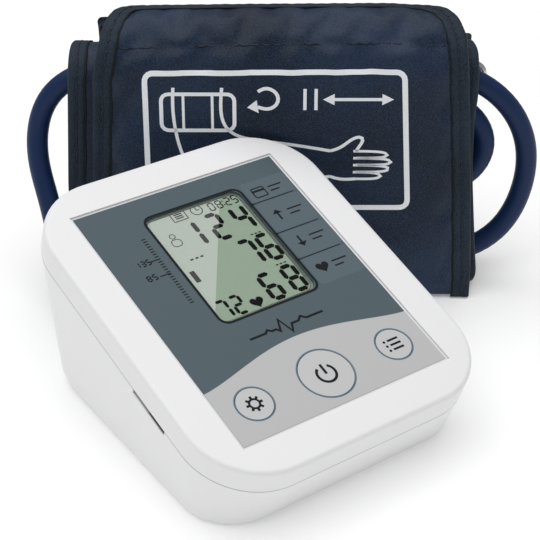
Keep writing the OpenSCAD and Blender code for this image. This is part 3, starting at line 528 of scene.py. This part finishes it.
# %% Panel print
TOP = 0.47
LINE = 0.42
KEY_V = -39.1
key_rings = [ring(u, KEY_V, r, LINE) for u, r in [(-28, 6.5), (0, 9.72), (28, 6.5)]]
mark("key_rings", key_rings, TOP, ring_blue, "monitor")

plate_paint = Paint("plate", rgb(88, 103, 110), roughness=0.45)
plate_paint.set("Specular IOR Level", 0.2)
lines_v = [33.3, 18.2, 5.1, -8.3]
plates = [patch(rounded(21.2, low + 0.45, 40.0, high - 0.45, 1.6))
          for low, high in zip(lines_v, [43.6] + lines_v[:3])]
mark("label_plates", plates, TOP + 0.015, plate_paint, "monitor")
lip_paint = Paint("recess_lip", rgb(222, 222, 223), roughness=0.5)
lip = ribbon([[-40.85, -51.95], [40.85, -51.95], [40.85, 51.95], [-40.85, 51.95]], 0.8, closed=True)
mark("recess_lip", [lip], 0.62, lip_paint, "monitor")

marks = [ribbon([[20.4, v], [38.4, v]], 0.36) for v in lines_v[:3]]
marks += [patch([[19.7, v - 1.1], [21.6, v], [19.7, v + 1.1]]) for v in lines_v[:3]]
marks += [ribbon([[-24.1, v], [-22.6, v]], LINE) for v in np.linspace(34.4, 4.2, 26)]
marks += [ribbon([[-26.9, v], [-23.0, v]], LINE) for v in (24.74, 17.9)]
scale_digits = [(1, -32.2, 23.6), (3, -30.0, 23.6), (5, -28.0, 23.6), (8, -31.6, 17.1), (5, -29.4, 17.1)]
for number, u, v in scale_digits:
    marks += digit(number, u, v, 1.8, 2.7, 0.5)
pulse = [
    [-14.8, -17.2], [-8.6, -17.2], [-7.4, -16.2], [-6.2, -17.2], [-4.4, -17.2], [-3.4, -18.4], [-1.6, -13.9],
    [0.4, -20.2], [1.8, -17.2], [4.6, -17.2], [6.2, -15.8], [7.8, -17.2], [14.6, -17.2],
]
marks.append(ribbon(pulse, 0.85))
# Calendar, up arrow, down arrow and pulse icons, each with short bars beside it
BAR_U, BAR = 30.8, 0.62
marks.append(ribbon(rounded(24.0, 35.3, 29.0, 39.7, 0.6), 0.5, closed=True))
marks.append(ribbon([[24.2, 38.3], [28.8, 38.3]], 0.9))
marks += [ribbon([[BAR_U, 38.6], [36.4, 38.6]], BAR), ribbon([[BAR_U, 36.6], [34.6, 36.6]], BAR)]
for base, way in [(25.6, 1), (12.2, -1)]:
    tip = base + 2.6 * way
    marks.append(ribbon([[26.6, base - 2.4 * way], [26.6, tip - 1.2 * way]], 0.75))
    marks.append(patch([[24.7, tip - 1.9 * way], [28.5, tip - 1.9 * way], [26.6, tip]]))
    marks.append(ribbon([[BAR_U, base + 1.0], [37.0, base + 1.0]], BAR))
    marks.append(ribbon([[BAR_U, base - 1.2], [35.0, base - 1.2]], BAR))
marks.append(heart(26.5, -1.0, 5.0))
marks += [ribbon([[BAR_U, -0.2], [37.0, -0.2]], BAR), ribbon([[BAR_U, -2.4], [34.6, -2.4]], BAR)]
mark("panel_marks", marks, TOP - 0.01, dark_mark, "monitor")

# %% [markdown]
# ### Key icons
# A dial at the left, the standard power sign in the middle, and a list at the right.

# %% Key icons
teeth = [ribbon([[-28 + r * math.cos(a), KEY_V + r * math.sin(a)] for r in (2.0, 3.0)], 0.9)
         for a in np.radians(np.arange(0, 360, 45))]
mark("set_icon", [ring(-28, KEY_V, 1.75, 0.75, 48)] + teeth, TOP, dark_mark, "set_key")
power_sign = [ribbon(circle(0, -39.3, 3.3, 125, 415, 60), 0.95), ribbon([[0, -35.3], [0, -39.4]], 0.95)]
mark("power_icon", power_sign, TOP, dark_mark, "power_key")
LIST_V = (-37.2, -39.1, -41.0)
rows = [ribbon([[26.6, v], [30.9, v]], 0.8) for v in LIST_V]
rows += [patch(circle(25.3, v, 0.5, n=16)) for v in LIST_V]
mark("memory_icon", rows, TOP, dark_mark, "memory_key")

# %% [markdown]
# ### Display
# The glass has a painted reflection: a light band at its left, as in the photo, where the segments are
# painted greyer too.

# %% Display
def beyond_painted_glare(paint):
    """1 at the right of the slanting edge of the painted reflection, 0 in the reflection at its left."""
    u, v, d = panel_uvd(paint)
    return (u * 0.819 - v * 0.575 + (42.9 * 0.575 - 13.5 * 0.819)).step(0.0, 0.25)


lcd = Paint("lcd_face", rgb(150, 170, 148), roughness=0.3)
# The LCD's own colour is at the right; the lighter colour at the left is a painted reflection.
lcd.set("Base Color", lcd.mix(beyond_painted_glare(lcd), rgb(178, 189, 177), rgb(138, 159, 137)))
ink = Paint("lcd_ink", rgb(10, 12, 12), roughness=0.6)
ink.set("Specular IOR Level", 0.05)
# The segments are painted greyer where the painted reflection lies on the glass.
ink.set("Base Color", ink.mix(beyond_painted_glare(ink), rgb(78, 76, 78), rgb(4, 5, 5)))
glass_face = smooth_cad("lcd_glass")
glass_face.data.materials.clear()
glass_face.data.materials.append(lcd.material)

shown = []
for number, u, v, w, h, t in [
    (1, -8.7, 23.8, 6.4, 12.9, 1.75), (2, 1.2, 23.8, 6.4, 12.9, 1.75), (4, 11.4, 23.8, 6.4, 12.9, 1.75),
    (7, 4.9, 8.7, 6.4, 12.9, 1.75), (6, 12.4, 8.7, 6.4, 12.9, 1.75),
    (6, 2.6, -6.5, 6.4, 12.5, 1.75), (8, 11.9, -6.5, 6.4, 12.5, 1.75),
    (7, -16.7, -6.6, 4.5, 8.5, 1.2), (2, -11.4, -6.6, 4.5, 8.5, 1.2),
    (0, 6.2, 37.1, 2.4, 3.9, 0.5), (8, 9.3, 37.1, 2.4, 3.9, 0.5),
    (2, 13.0, 37.1, 2.4, 3.9, 0.5), (5, 15.9, 37.1, 2.2, 3.9, 0.5),
]:
    shown += digit(number, u, v, w, h, t)
shown += [patch(rounded(12.1, v, 12.6, v + 0.5, 0.1, 3)) for v in (37.9, 39.7)]
shown.append(heart(-2.65, -4.0, 5.0))
shown.append(ribbon(rounded(-8.4, 37.7, -2.9, 41.9, 0.2, 3), 0.35, closed=True))
shown += [ribbon([[-7.2, v], [-4.1, v]], 0.5) for v in (38.9, 39.8, 40.7)]
shown += [ring(1.6, 39.8, 2.15, 0.35), ribbon([[1.6, 41.2], [1.6, 39.7], [2.8, 39.7]], 0.32)]
shown += [patch([[-16.5, 11.3], [-14.6, 11.3], [-14.6, 16.4], [-16.5, 16.4]])]
shown += [ring(-12.9, 32.4, 1.0, 0.3, 24), ribbon(rounded(-14.7, 27.8, -11.1, 30.9, 1.3), 0.3, closed=True)]
shown += [ribbon([[u, 20.8], [u + 1.2, 20.8]], 0.7) for u in (-13.0, -11.0, -9.0)]
shown += [ribbon([[u, v], [u + 1.0, v]], 0.5) for v in (22.2, 6.9) for u in (12.6, 14.2, 15.8)]
mark("display_marks", shown, 1.57, ink, "monitor")
edge = ribbon(rounded(-19.15, -8.45, 20.3, 42.55, 3.4, 10), 0.95, closed=True)
mark("window_border", [edge], TOP, window_edge, "monitor")
print("printed marks:", len(marks), "display marks:", len(shown))

# %% [markdown]
# ## Cuff
# The cuff is a strip of padded nylon, rolled into two turns. A place on a turn has three numbers: s across
# the cuff, a along the turn from the table up the front, over the top and down the back, and h out from its
# middle. The outer turn's skin starts with seeded folds and is simulated as cloth, held along its tapes and
# its seam. The cloth moves further than it has room for, so each point's move is then cut back to 1.0 to
# 2.2 mm: the form is that of the curves, and the simulation mostly gives the way that each point moves.

# %% Turns of the cuff
CLOTH_T = 3.4


def bend(w, z, r, start, end, n):
    """Points [w, z] of an arc."""
    a = np.radians(np.linspace(start, end, n))
    return np.column_stack([w + r * np.cos(a), z + r * np.sin(a)])


def even(path, step):
    """The same line with points at even distances."""
    path = np.asarray(path, float)
    at = np.r_[0, np.cumsum(np.linalg.norm(np.diff(path, axis=0), axis=1))]
    wanted = np.linspace(0, at[-1], max(2, int(round(at[-1] / step)) + 1))
    return np.column_stack([np.interp(wanted, at, path[:, k]) for k in range(path.shape[1])])


def turn(path, first=0.0, rise=((0, 1), (0, 0))):
    """A turn of the roll: distances along it counted from `first`, its points, its outward normals (-dz, dw),
    and how much its crest rises, as values of s and the rise there."""
    path = even(path, 1.2)
    at = first + np.r_[0, np.cumsum(np.linalg.norm(np.diff(path, axis=0), axis=1))]
    d = np.gradient(path, axis=0)
    d /= np.linalg.norm(d, axis=1)[:, None]
    return at, path, np.column_stack([-d[:, 1], d[:, 0]]), rise


def on_turn(roll, s, a, h):
    """Cuff points [s, w, z] of places on a turn: middle line + h * normal, then w leans back by LEAN * z.
    The rise counts in full from 92 mm above the table, and not at all below 62 mm."""
    at, path, normal, rise = roll
    s, a, h = np.broadcast_arrays(np.asarray(s, float), a, h)
    w, z = (np.interp(a, at, path[:, k]) + h * np.interp(a, at, normal[:, k]) for k in (0, 1))
    share = np.clip((z - 62) / 30, 0, 1) ** 2
    return np.stack([s, w + LEAN * z, z + share * np.interp(s, *rise)], -1)


outer_crest, outer_foot = bend(90.7, 90, 15.9, 180, 0, 40), bend(100.6, 7.8, 6, 0, -90, 10)
OUTER = turn(np.vstack([[[73.7, 0.2], [74.8, 14]], outer_crest, outer_foot, [[90.7, 1.8]]]),
             first=-2.05, rise=([-60, -45, -8, 46, 60], [0.2, 0.6, 1.1, 1.5, 0.8]))
INNER = turn(np.vstack([bend(87, 7.8, 6, -90, -180, 10), bend(91.7, 84, 10.7, 180, 13, 30)]),
             rise=([-60, -54, -42, 50, 76], [-1.8, -1.7, 0, 0, -1.0]))
OUTER_END, INNER_END = OUTER[0][-1], INNER[0][-1]

# Edges as [a, s], read off the photo: the front flap narrows towards its round upper corners
FLAP = np.array([
    [-2, -63.6], [47, -62.3], [73, -60.7], [87, -60.1], [96, -58.2], [104.5, -56.3], [110, -54.6],
    [115, -51.8], [118.4, -47.5], [119.4, -41], [119.5, 0], [119.5, 53], [118.4, 61.8], [114.8, 67.6],
    [108.2, 72.0], [100, 74.6], [73, 76.8], [42, 79.0], [10, 80.8], [3, 80.8], [-2, 80.7],
])
BACK_LEFT = np.array([[129.2, -60.7], [150, -60.5], [200, -61.5], [OUTER_END, -63]])
BACK_RIGHT = np.array([[OUTER_END, 78.6], [200, 79.4], [150, 80], [136.4, 79.9]])
INNER_LEFT = np.array([[0, -72.7], [45, -72.3], [70, -70.9], [88, -70], [102, -69.7], [INNER_END, -68.3]])
INNER_RIGHT = np.array([
    [INNER_END, 75.8], [108, 77.3], [103, 79.2], [99, 80.1], [94, 80.2], [80, 80.2], [76, 79.8],
    [68, 79.6], [61, 79.8], [54, 79.9], [45.6, 80.4], [28, 82], [8, 84], [0, 83.2],
])


def band(low, high, left, right, columns):
    """A padded sheet on a turn: grids of s and a for one skin, which the two skins share."""
    rows = int((high - low) / 2.4)
    a = np.linspace(low, high, rows)[:, None]
    share = np.linspace(0, 1, columns)[None]
    s = np.interp(a, *left) * (1 - share) + np.interp(a, *right) * share
    return s, np.broadcast_to(a, s.shape).copy()


def band_faces(rows, columns):
    """Two skins, each a grid, and the rim that joins them."""
    skin = grid_faces(rows, columns)
    n = rows * columns
    rim = np.r_[
        np.arange(columns),
        np.arange(1, rows) * columns + columns - 1,
        (rows - 1) * columns + np.arange(columns - 2, -1, -1),
        np.arange(rows - 2, 0, -1) * columns,
    ]
    after = np.roll(rim, -1)
    wall = np.column_stack([rim, after, after + n, rim + n])[:, ::-1]
    return np.vstack([skin, skin[:, ::-1] + n, wall])


def simulate(name, rest, start, faces, pinned, pressure, shrink, frames=18):
    """Runs Blender's cloth on a copy ten times as large, and returns where its points end."""
    mesh = bpy.data.meshes.new(name)
    mesh.from_pydata((start * 0.01).tolist(), [], faces.tolist())
    mesh.update()
    sheet = bpy.data.objects.new(name, mesh)
    bpy.context.scene.collection.objects.link(sheet)
    sheet.vertex_groups.new(name="held").add([int(k) for k in pinned], 1.0, "REPLACE")
    cloth = sheet.modifiers.new("cloth", "CLOTH")
    rules = cloth.settings
    rules.quality = 6
    rules.mass = 0.2
    rules.tension_stiffness = rules.compression_stiffness = 12
    rules.bending_stiffness = 0.12
    rules.use_pressure = True
    rules.uniform_pressure_force = pressure
    rules.vertex_group_mass = "held"
    rules.shrink_min = shrink
    rules.effector_weights.gravity = 0
    cloth.point_cache.frame_end = frames
    for f in range(1, frames + 1):
        bpy.context.scene.frame_set(f)
    drawn = sheet.evaluated_get(bpy.context.evaluated_depsgraph_get())
    found = np.zeros(len(rest) * 3)
    drawn.data.vertices.foreach_get("co", found)
    bpy.data.objects.remove(sheet)
    bpy.context.scene.frame_set(1)
    return found.reshape(-1, 3) * 100


print("length of the outer turn", OUTER_END.round(1), "of the inner one", INNER_END.round(1))

# %% Cloth finishes
def cloth(name, dark, light, grain, roughness, relief):
    """Woven nylon: fine grain over slow changes of tone, partly the cloth's own and partly painted shade of
    its puffs, with a small relief and little gloss.
    """
    paint = Paint(name, light, roughness=roughness)
    fine, slow = paint.noise(grain, 2), paint.noise(26, 3)
    # The slow noise paints broad lighter and darker patches: partly the cloth's own tone, partly painted
    # shade.
    share = ((slow - 0.5) * 1.5 + (fine - 0.5) * 3.0 + 0.5).math("MINIMUM", 1.0).math("MAXIMUM", 0.0)
    paint.set("Base Color", paint.mix(share, dark, light))
    paint.set("Specular IOR Level", 0.24)
    paint.bump(fine, relief, 0.00014)
    return paint


nylon = cloth("navy_nylon", rgb(9, 17, 28), rgb(38, 56, 82), 2600, 0.46, 0.5)
tape_cloth = cloth("navy_tape", rgb(12, 21, 30), rgb(38, 53, 68), 2200, 0.62, 0.55)
stitch_paint = Paint("stitches", rgb(14, 27, 46), roughness=0.6)
# Near-black paint for painted shade lines: where the cloth meets its tapes, and in the seam's groove.
painted_shade_paint = Paint("crease", rgb(9, 12, 17), roughness=0.9)
print_paint = Paint("cuff_print", rgb(246, 250, 253), roughness=0.7)

# %% Outer turn
COLUMNS = 66
# The cloth ends 3.2 mm inside the outer edge of its tape, here as an addition to [a, s]
IN_TAPE = np.array([[0], [3.2]])
half = int(np.argmax(FLAP[:, 0] >= 119.5))
left_edge = np.vstack([FLAP[:8], [[118.5, -49], [124, -50], [129, -59]], BACK_LEFT[1:]]).T + IN_TAPE
right_edge = np.vstack([FLAP[:half + 1:-1], [[121, 63], [127, 65], [136, 79]], BACK_RIGHT[-2::-1]])
right_edge = right_edge[np.argsort(right_edge[:, 0], kind="stable")].T - IN_TAPE
s_at, a_at = band(-1.6, OUTER_END, left_edge, right_edge, COLUMNS)
rows = len(s_at)

# The row nearest the seam follows it: the seam rises towards the right, and its neighbours move along
SEAM = np.array([
    [-55, 96.0], [-30, 96.4], [-8, 96.7], [20, 97.0], [46, 97.1], [58, 97.0], [66, 96.8], [72, 96.4],
])
seam_row = int(np.argmin(abs(a_at[:, 0] - 96.8)))
near = np.clip(1 - abs(a_at - a_at[seam_row, 0]) / 26, 0, 1)
a_at += near * (np.interp(s_at, *SEAM.T) - a_at[seam_row, 0])
s_at, a_at = s_at.ravel(), a_at.ravel()
i, j = np.divmod(np.arange(s_at.size), COLUMNS)
rest = np.vstack([on_turn(OUTER, s_at, a_at, k * CLOTH_T / 2) for k in (1, -1)])
faces = band_faces(rows, COLUMNS)
flap_end = int(np.argmin(abs(a_at[::COLUMNS] - 113)))
held = (j < 3) | (j > COLUMNS - 4) | (i < 2) | (i > rows - 4) | (i == seam_row) | (i == flap_end)

# Folds start the wrinkles: they slant over the cloth, and stay faint under the stiff print
rng = np.random.default_rng(11)
waves = [(0.30, 4.6, -3.2), (0.22, 3.1, 6.5), (0.16, 6.0, -19.0), (0.16, 2.2, -4.1), (0.10, 9.0, 2.3)]
phases = rng.uniform(0, 6.28, len(waves))
folds = sum(size * np.sin(s_at / p + a_at / q + f) for (size, p, q), f in zip(waves, phases))
inside = np.clip((np.minimum(s_at + 44, 57 - s_at)) / 6, 0, 1) * np.clip((92 - a_at) / 4, 0, 1)
stronger = 2.0 - 1.75 * inside
start = rest.copy()
start[: s_at.size, 1] -= np.where(held | (a_at > 112), 0, folds * stronger)
pinned = np.r_[np.flatnonzero(held), np.arange(s_at.size, 2 * s_at.size)]
moved = simulate("cuff_cloth", rest, start, faces, pinned, pressure=0.7, shrink=-0.03)
shift = moved - rest
both = np.r_[a_at, a_at]
# The room that the cloth's moves are cut back to, by the distance along the turn
room = np.interp(both, [0, 75, 90, 104, 110, 122, 140, 236], [1.2, 1.2, 1.4, 2.2, 2.2, 1.6, 1.4, 1.0])
size = np.linalg.norm(shift, axis=1)
print("cloth moved at most", size.max().round(2), "mm, on average", size[: s_at.size].mean().round(2))
shift *= np.minimum(1, room / np.maximum(size, 1e-9))[:, None]
points = rest + shift

# Small gathers either side of the seam, which itself is drawn in
beside_seam = a_at - np.interp(s_at, *SEAM.T)
puckers = np.sin(s_at * 1.7 + 1.3 * np.sin(s_at * 0.29))
gather = 0.3 * np.exp(-(beside_seam / 3.4) ** 2) * puckers - 0.5 * np.exp(-(beside_seam / 1.5) ** 2)
points[: s_at.size] += gather[:, None] * (on_turn(OUTER, s_at, a_at, 1) - on_turn(OUTER, s_at, a_at, 0))
outer_turn = add("cuff_outer_turn", in_cuff(*points.T), faces, nylon.material, "cuff_set", slot="navy_cloth")
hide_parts("cuff_band")

# %% Inner turn
inner_left, inner_right = INNER_LEFT.T + IN_TAPE, INNER_RIGHT[::-1].T - IN_TAPE
s_in, a_in = band(0, INNER_END, inner_left, inner_right, COLUMNS)
grid = np.vstack([on_turn(INNER, s_in, a_in, k * CLOTH_T / 2).reshape(-1, 3) for k in (1, -1)])
inner_faces = band_faces(len(s_in), COLUMNS)
inner_turn = add("cuff_inner_turn", in_cuff(*grid.T), inner_faces, nylon.material, "cuff_set",
                 slot="navy_cloth")
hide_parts("cuff_lining")
for piece in (outer_turn, inner_turn):
    smooth = piece.modifiers.new("smooth", "SUBSURF")
    smooth.levels = smooth.render_levels = 1

# %% [markdown]
# ### Edge tapes and stitches
# A folded tape wraps each edge: a flat loop of a cross-section swept along the edge, with a groove where the
# stitches pull it in. The stitches are short rods that zigzag in the groove. The front flap's tape runs up
# its left edge, round the corner, along the top and down its right edge.

# %% Edge tapes
def tape(roll, edge, width):
    """Tape along an edge of [a, s] points, inward being to the right of its way, its stitches, and the line
    of shadow at its inner side."""
    line = even(edge[:, ::-1], 0.8)
    for _ in range(6):
        line[1:-1] = (line[:-2] + line[1:-1] * 2 + line[2:]) / 4
    ahead = np.gradient(line, axis=0)
    ahead /= np.linalg.norm(ahead, axis=1)[:, None]
    inward = np.column_stack([ahead[:, 1], -ahead[:, 0]])
    run = np.arange(len(line)) * 0.8
    wide = width * (1 + 0.02 * np.sin(run * 0.35) + 0.015 * np.sin(run * 1.1 + 2))
    tall = CLOTH_T / 2 + 0.3 + 0.05 * np.sin(run * 1.43) + 0.04 * np.sin(run * 0.6 + 1)
    fold = np.radians(np.linspace(90, 270, 9))
    across = np.r_[
        1.0, 0.97, 0.84, 0.62, 0.54, 0.46, 0.3,
        0.16 + 0.16 * np.cos(fold),
        0.3, 0.46, 0.54, 0.62, 0.84, 1.0,
    ]
    height = np.r_[0.78, 0.98, 1.0, 1.0, 0.86, 1.0, 1.03, np.sin(fold), -1.03, -1.0, -0.86, -1.0, -1.0, -0.8]
    place = line[:, None] + inward[:, None] * (across[None] * wide[:, None])[..., None]
    points = on_turn(roll, place[..., 0], place[..., 1], height[None] * tall[:, None]).reshape(-1, 3)
    n = len(across)
    ends = [list(range(n)), list(range(n * (len(line) - 1), n * len(line)))[::-1]]
    skin = ends + grid_faces(len(line), n, close_columns=True).tolist()
    rods = []
    for k, begin in enumerate(np.arange(2.0, run[-1] - 3, 2.15)):
        t = np.linspace(begin, begin + 2.3, 4)
        side = (0.54 + 0.045 * (-1) ** k * np.linspace(-1, 1, 4)) * np.interp(t, run, wide)
        at = [np.interp(t, run, line[:, m]) + side * np.interp(t, run, inward[:, m]) for m in (0, 1)]
        up = np.interp(t, run, tall) * 0.9 + 0.12 * np.sin(np.linspace(0, np.pi, 4))
        rods.append(tube(on_turn(roll, *at, up), 0.26, 6, side=(1, 0, 0)))
    thread, thread_faces = join_parts(rods)
    # A near-black tube just inside the tape: the painted shadow where the puffy cloth meets the tape.
    inner = line + inward * (wide * 1.02)[:, None]
    shadow = tube(on_turn(roll, inner[:, 0], inner[:, 1], CLOTH_T / 2 + 0.1), 0.34, 6, side=(1, 0, 0))
    return (points, skin), (thread, thread_faces), shadow


tapes = [
    ("front", OUTER, FLAP, 6.9),
    ("back_left", OUTER, BACK_LEFT, 9.0),
    ("back_right", OUTER, BACK_RIGHT, 6.4),
    ("inner_left", INNER, INNER_LEFT, 6.6),
    ("inner_right", INNER, INNER_RIGHT, 6.6),
]
for name, roll, edge, width in tapes:
    kinds = [("tape_", tape_cloth), ("stitches_", stitch_paint), ("crease_", painted_shade_paint)]
    for (kind, paint), (points, skin) in zip(kinds[: 2 if "back" in name else 3], tape(roll, edge, width)):
        band_piece = add(kind + name, in_cuff(*points.T), skin, paint.material, "cuff_set", slot="navy_tape")
        if kind + name == "tape_front":
            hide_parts("cuff_binding")
print("tapes:", len(tapes))

# %% [markdown]
# ### Seam, print and small cloth pieces
# The print is drawn flat as [s, z], then laid on the simulated cloth.

# %% Print and seam
def on_front(name, parts, paint, lift):
    """Flat shapes in [s, z], laid on the front of the outer turn."""
    flat, faces = join_parts(parts)
    w = 74.8 - CLOTH_T / 2 - 0.8 + LEAN * flat[:, 1]
    return lay_on_cloth(name, in_cuff(flat[:, 0], w, flat[:, 1]), faces, paint, lift)


def lay_on_cloth(name, points, faces, paint, lift):
    """A mesh that a Shrinkwrap lays on the outer turn, lifted by that many millimetres."""
    laid = add(name, points, faces, paint.material, "cuff_set", slot="navy_cloth")
    wrap = laid.modifiers.new("lay", "SHRINKWRAP")
    wrap.target = outer_turn
    wrap.wrap_method = "NEAREST_SURFACEPOINT"
    wrap.wrap_mode = "ABOVE_SURFACE"
    wrap.offset = lift * MM
    return laid


def stroke(points, width=1.2, closed=False):
    """A line of the print, with enough points to follow the cloth."""
    points = np.asarray(points, float)
    if closed:
        points = np.vstack([points, points[:1]])
    fine = even(points, 1.2)
    return ribbon(fine[:-1] if closed else fine, width, closed)


def curve(points):
    """A smooth line of the print."""
    return spline(points, 6)


frame_edge = rounded(-41.15, 38.5, 52.1, 91.3, 2.9)
across, down = (frame_edge[:, 0] + 41.15) / 93.25, (91.3 - frame_edge[:, 1]) / 52.8
frame_edge += np.column_stack([3.1 * across * down, 0.6 * across * (1 - down)])
frame_line = stroke(frame_edge, 2.0, closed=True)
sleeve_top = [
    [-31, 86], [-31.5, 78], [-30.5, 68], [-28, 58], [-23, 51.5], [-14, 48.6], [0, 48.2], [14, 49.4],
    [26, 51.2],
]
sleeve_low = [[-13.5, 86], [-14.2, 78], [-13.2, 71], [-8, 66.6], [2, 65.2], [14, 63.6], [26, 61.4]]
thumb = [[26, 61.4], [30, 62.6], [33, 65.6], [36.5, 67.4], [38.4, 66], [36.6, 63.2], [35.4, 61.2]]
motif = [stroke(curve(line)) for line in (sleeve_top, sleeve_low, thumb)]
for low, reach in [(58.6, 47.6), (55.8, 49.0), (53.0, 48.2), (50.2, 45.4)]:
    tip = [[reach - 2, low + 2.6], [reach, low + 1.2], [reach - 2, low - 0.1]]
    motif.append(stroke(curve([[34.5, low + 2.7]] + tip + [[35.5, low]]), 1.0))
motif.append(stroke(curve([[26, 51.2], [30, 49.8], [35.5, 50.2]])))
motif += [stroke(rounded(-35.5, 69.5, -9.0, 83.5, 2.6), 1.4, closed=True)]
motif += [stroke([[u, 82.8], [u, 70.2]], 1.0) for u in (-27.5, -17.0)]
turning = [[-0.5, 84.5], [2.5, 86.4], [6.8, 84.2], [7.2, 79.8], [3.4, 77.2], [-0.5, 78.6]]
motif.append(stroke(curve(turning), 1.3))
motif.append(patch([[-0.9, 81.3], [-4.4, 78.4], [-0.2, 76.2]]))
motif += [stroke([[u, 85.6], [u, 77.4]], 1.2) for u in (16.5, 20.5)]
motif.append(stroke([[26, 81.5], [45, 81.5]], 1.2))
motif.append(patch([[23.0, 81.5], [27.2, 83.7], [27.2, 79.3]]))
motif.append(patch([[48.6, 81.5], [44.4, 79.3], [44.4, 83.7]]))
on_front("cuff_print", [frame_line] + motif, print_paint, 0.1)

seam_dashes = []
for begin in np.arange(-49.5, 66, 3.9):
    s = np.linspace(begin, begin + 3.0, 4)
    dash = on_turn(OUTER, s, np.interp(s, *SEAM.T), CLOTH_T / 2 - 0.45)
    seam_dashes.append(tube(dash, 0.3, 6, side=(0, 1, 0)))
thread, thread_faces = join_parts(seam_dashes)
add("seam_stitches", in_cuff(*thread.T), thread_faces, stitch_paint.material, "cuff_set", slot="navy_cloth")
# A near-black tube sunk in the seam's groove: painted shade along the seam.
s = np.linspace(-51, 68, 100)
seam_shade_tube = tube(on_turn(OUTER, s, np.interp(s, *SEAM.T), CLOTH_T / 2 - 0.62), 0.26, 6, side=(0, 1, 0))
add("seam_painted_shade", in_cuff(*seam_shade_tube[0].T), seam_shade_tube[1], painted_shade_paint.material, "cuff_set",
    slot="navy_cloth")
print("print strokes", len(motif) + 1, "seam stitches", len(seam_dashes))

# %% Small cloth pieces
def strip(roll, s, columns, thickness):
    """A plain sheet on a turn of its own, between the two values of s."""
    at = roll[0]
    grid = on_turn(roll, np.linspace(*s, columns)[None], at[:, None], 0)
    side = on_turn(roll, np.linspace(*s, columns)[None], at[:, None], thickness / 2) - grid
    points = np.vstack([(grid + side).reshape(-1, 3), (grid - side).reshape(-1, 3)])
    return points, band_faces(len(at), columns)


hook_paint = Paint("hook_tape", rgb(38, 40, 46), roughness=0.9)
hook_paint.bump(hook_paint.noise(1800, 1), 1.0, 0.0004)
fasteners = [
    ("hook_tape", "hook_patch", 77.2, (12, 56), (-30, 50)),
    ("loop_tape", "loop_patch", 78.6, (10, 82), (-50, 70)),
]
for name, node, w, z, s in fasteners:
    points, faces = strip(turn([[w, z[0]], [w, z[1]]]), s, 24, 0.8)
    fastener = add(name, in_cuff(*points.T), faces, hook_paint.material, "cuff_set", slot=name)
    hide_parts(node)

RING_W, RING_Z = 101.8, 82.5
round_wire = bend(RING_W, RING_Z, 2.1, 155, 385, 24)
loop = turn(np.vstack([[[RING_W - 0.5, 86.0]], round_wire, [[RING_W + 1.4, 86.0]]]))
points, faces = strip(loop, (-62, 74), 60, 0.8)
points[:, 1] += LEAN * (RING_Z - points[:, 2])
ring_loop = add("ring_loop", in_cuff(*points.T), faces, tape_cloth.material, "cuff_set", slot="navy_tape")
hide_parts("ring_strap")

# %% [markdown]
# ## Floor, light and finish
# The light is a soft studio. The floor shows white to the camera and keeps a soft shadow.

# %% Light
floor_paint = Paint("floor", (0.9, 0.9, 0.9), roughness=0.9)
floor_paint.set("Specular IOR Level", 0.0)
floor_paint.set("Emission Color", (1.0, 1.0, 1.0))
floor_paint.set("Emission Strength", 0.2)
FLOOR_HALF, FLOOR_Z = 4, -0.0003
corners = [[x * FLOOR_HALF, y * FLOOR_HALF, FLOOR_Z] for x, y in [(-1, -1), (1, -1), (1, 1), (-1, 1)]]
floor = add("floor", corners, [[0, 1, 2, 3]], floor_paint.material, None, smooth=False)

world = bpy.data.worlds.new("studio")
world.use_nodes = True
world.node_tree.nodes["Background"].inputs["Color"].default_value = (1, 1, 1, 1)
world.node_tree.nodes["Background"].inputs["Strength"].default_value = 0.3
bpy.context.scene.world = world


def lamp(name, place, aim, size, power):
    """A square area lamp at a place, turned towards a point."""
    data = bpy.data.lights.new(name, "AREA")
    data.size, data.energy = size, power
    made = bpy.data.objects.new(name, data)
    bpy.context.scene.collection.objects.link(made)
    made.location = place
    made.rotation_euler = (Vector(aim) - Vector(place)).to_track_quat("-Z", "Y").to_euler()
    return made


lamp("key", (-0.15, 0.1, 1.5), (0, 0, 0), 2.2, 25)
lamp("left_fill", (-1.3, -0.8, 0.7), (0, 0, 0.05), 1.0, 0.3)
lamp("right_fill", (1.1, -1.1, 0.6), (0, 0, 0.05), 1.0, 0.3)
bpy.context.scene.view_settings.view_transform = "Standard"
print("lamps: 3")
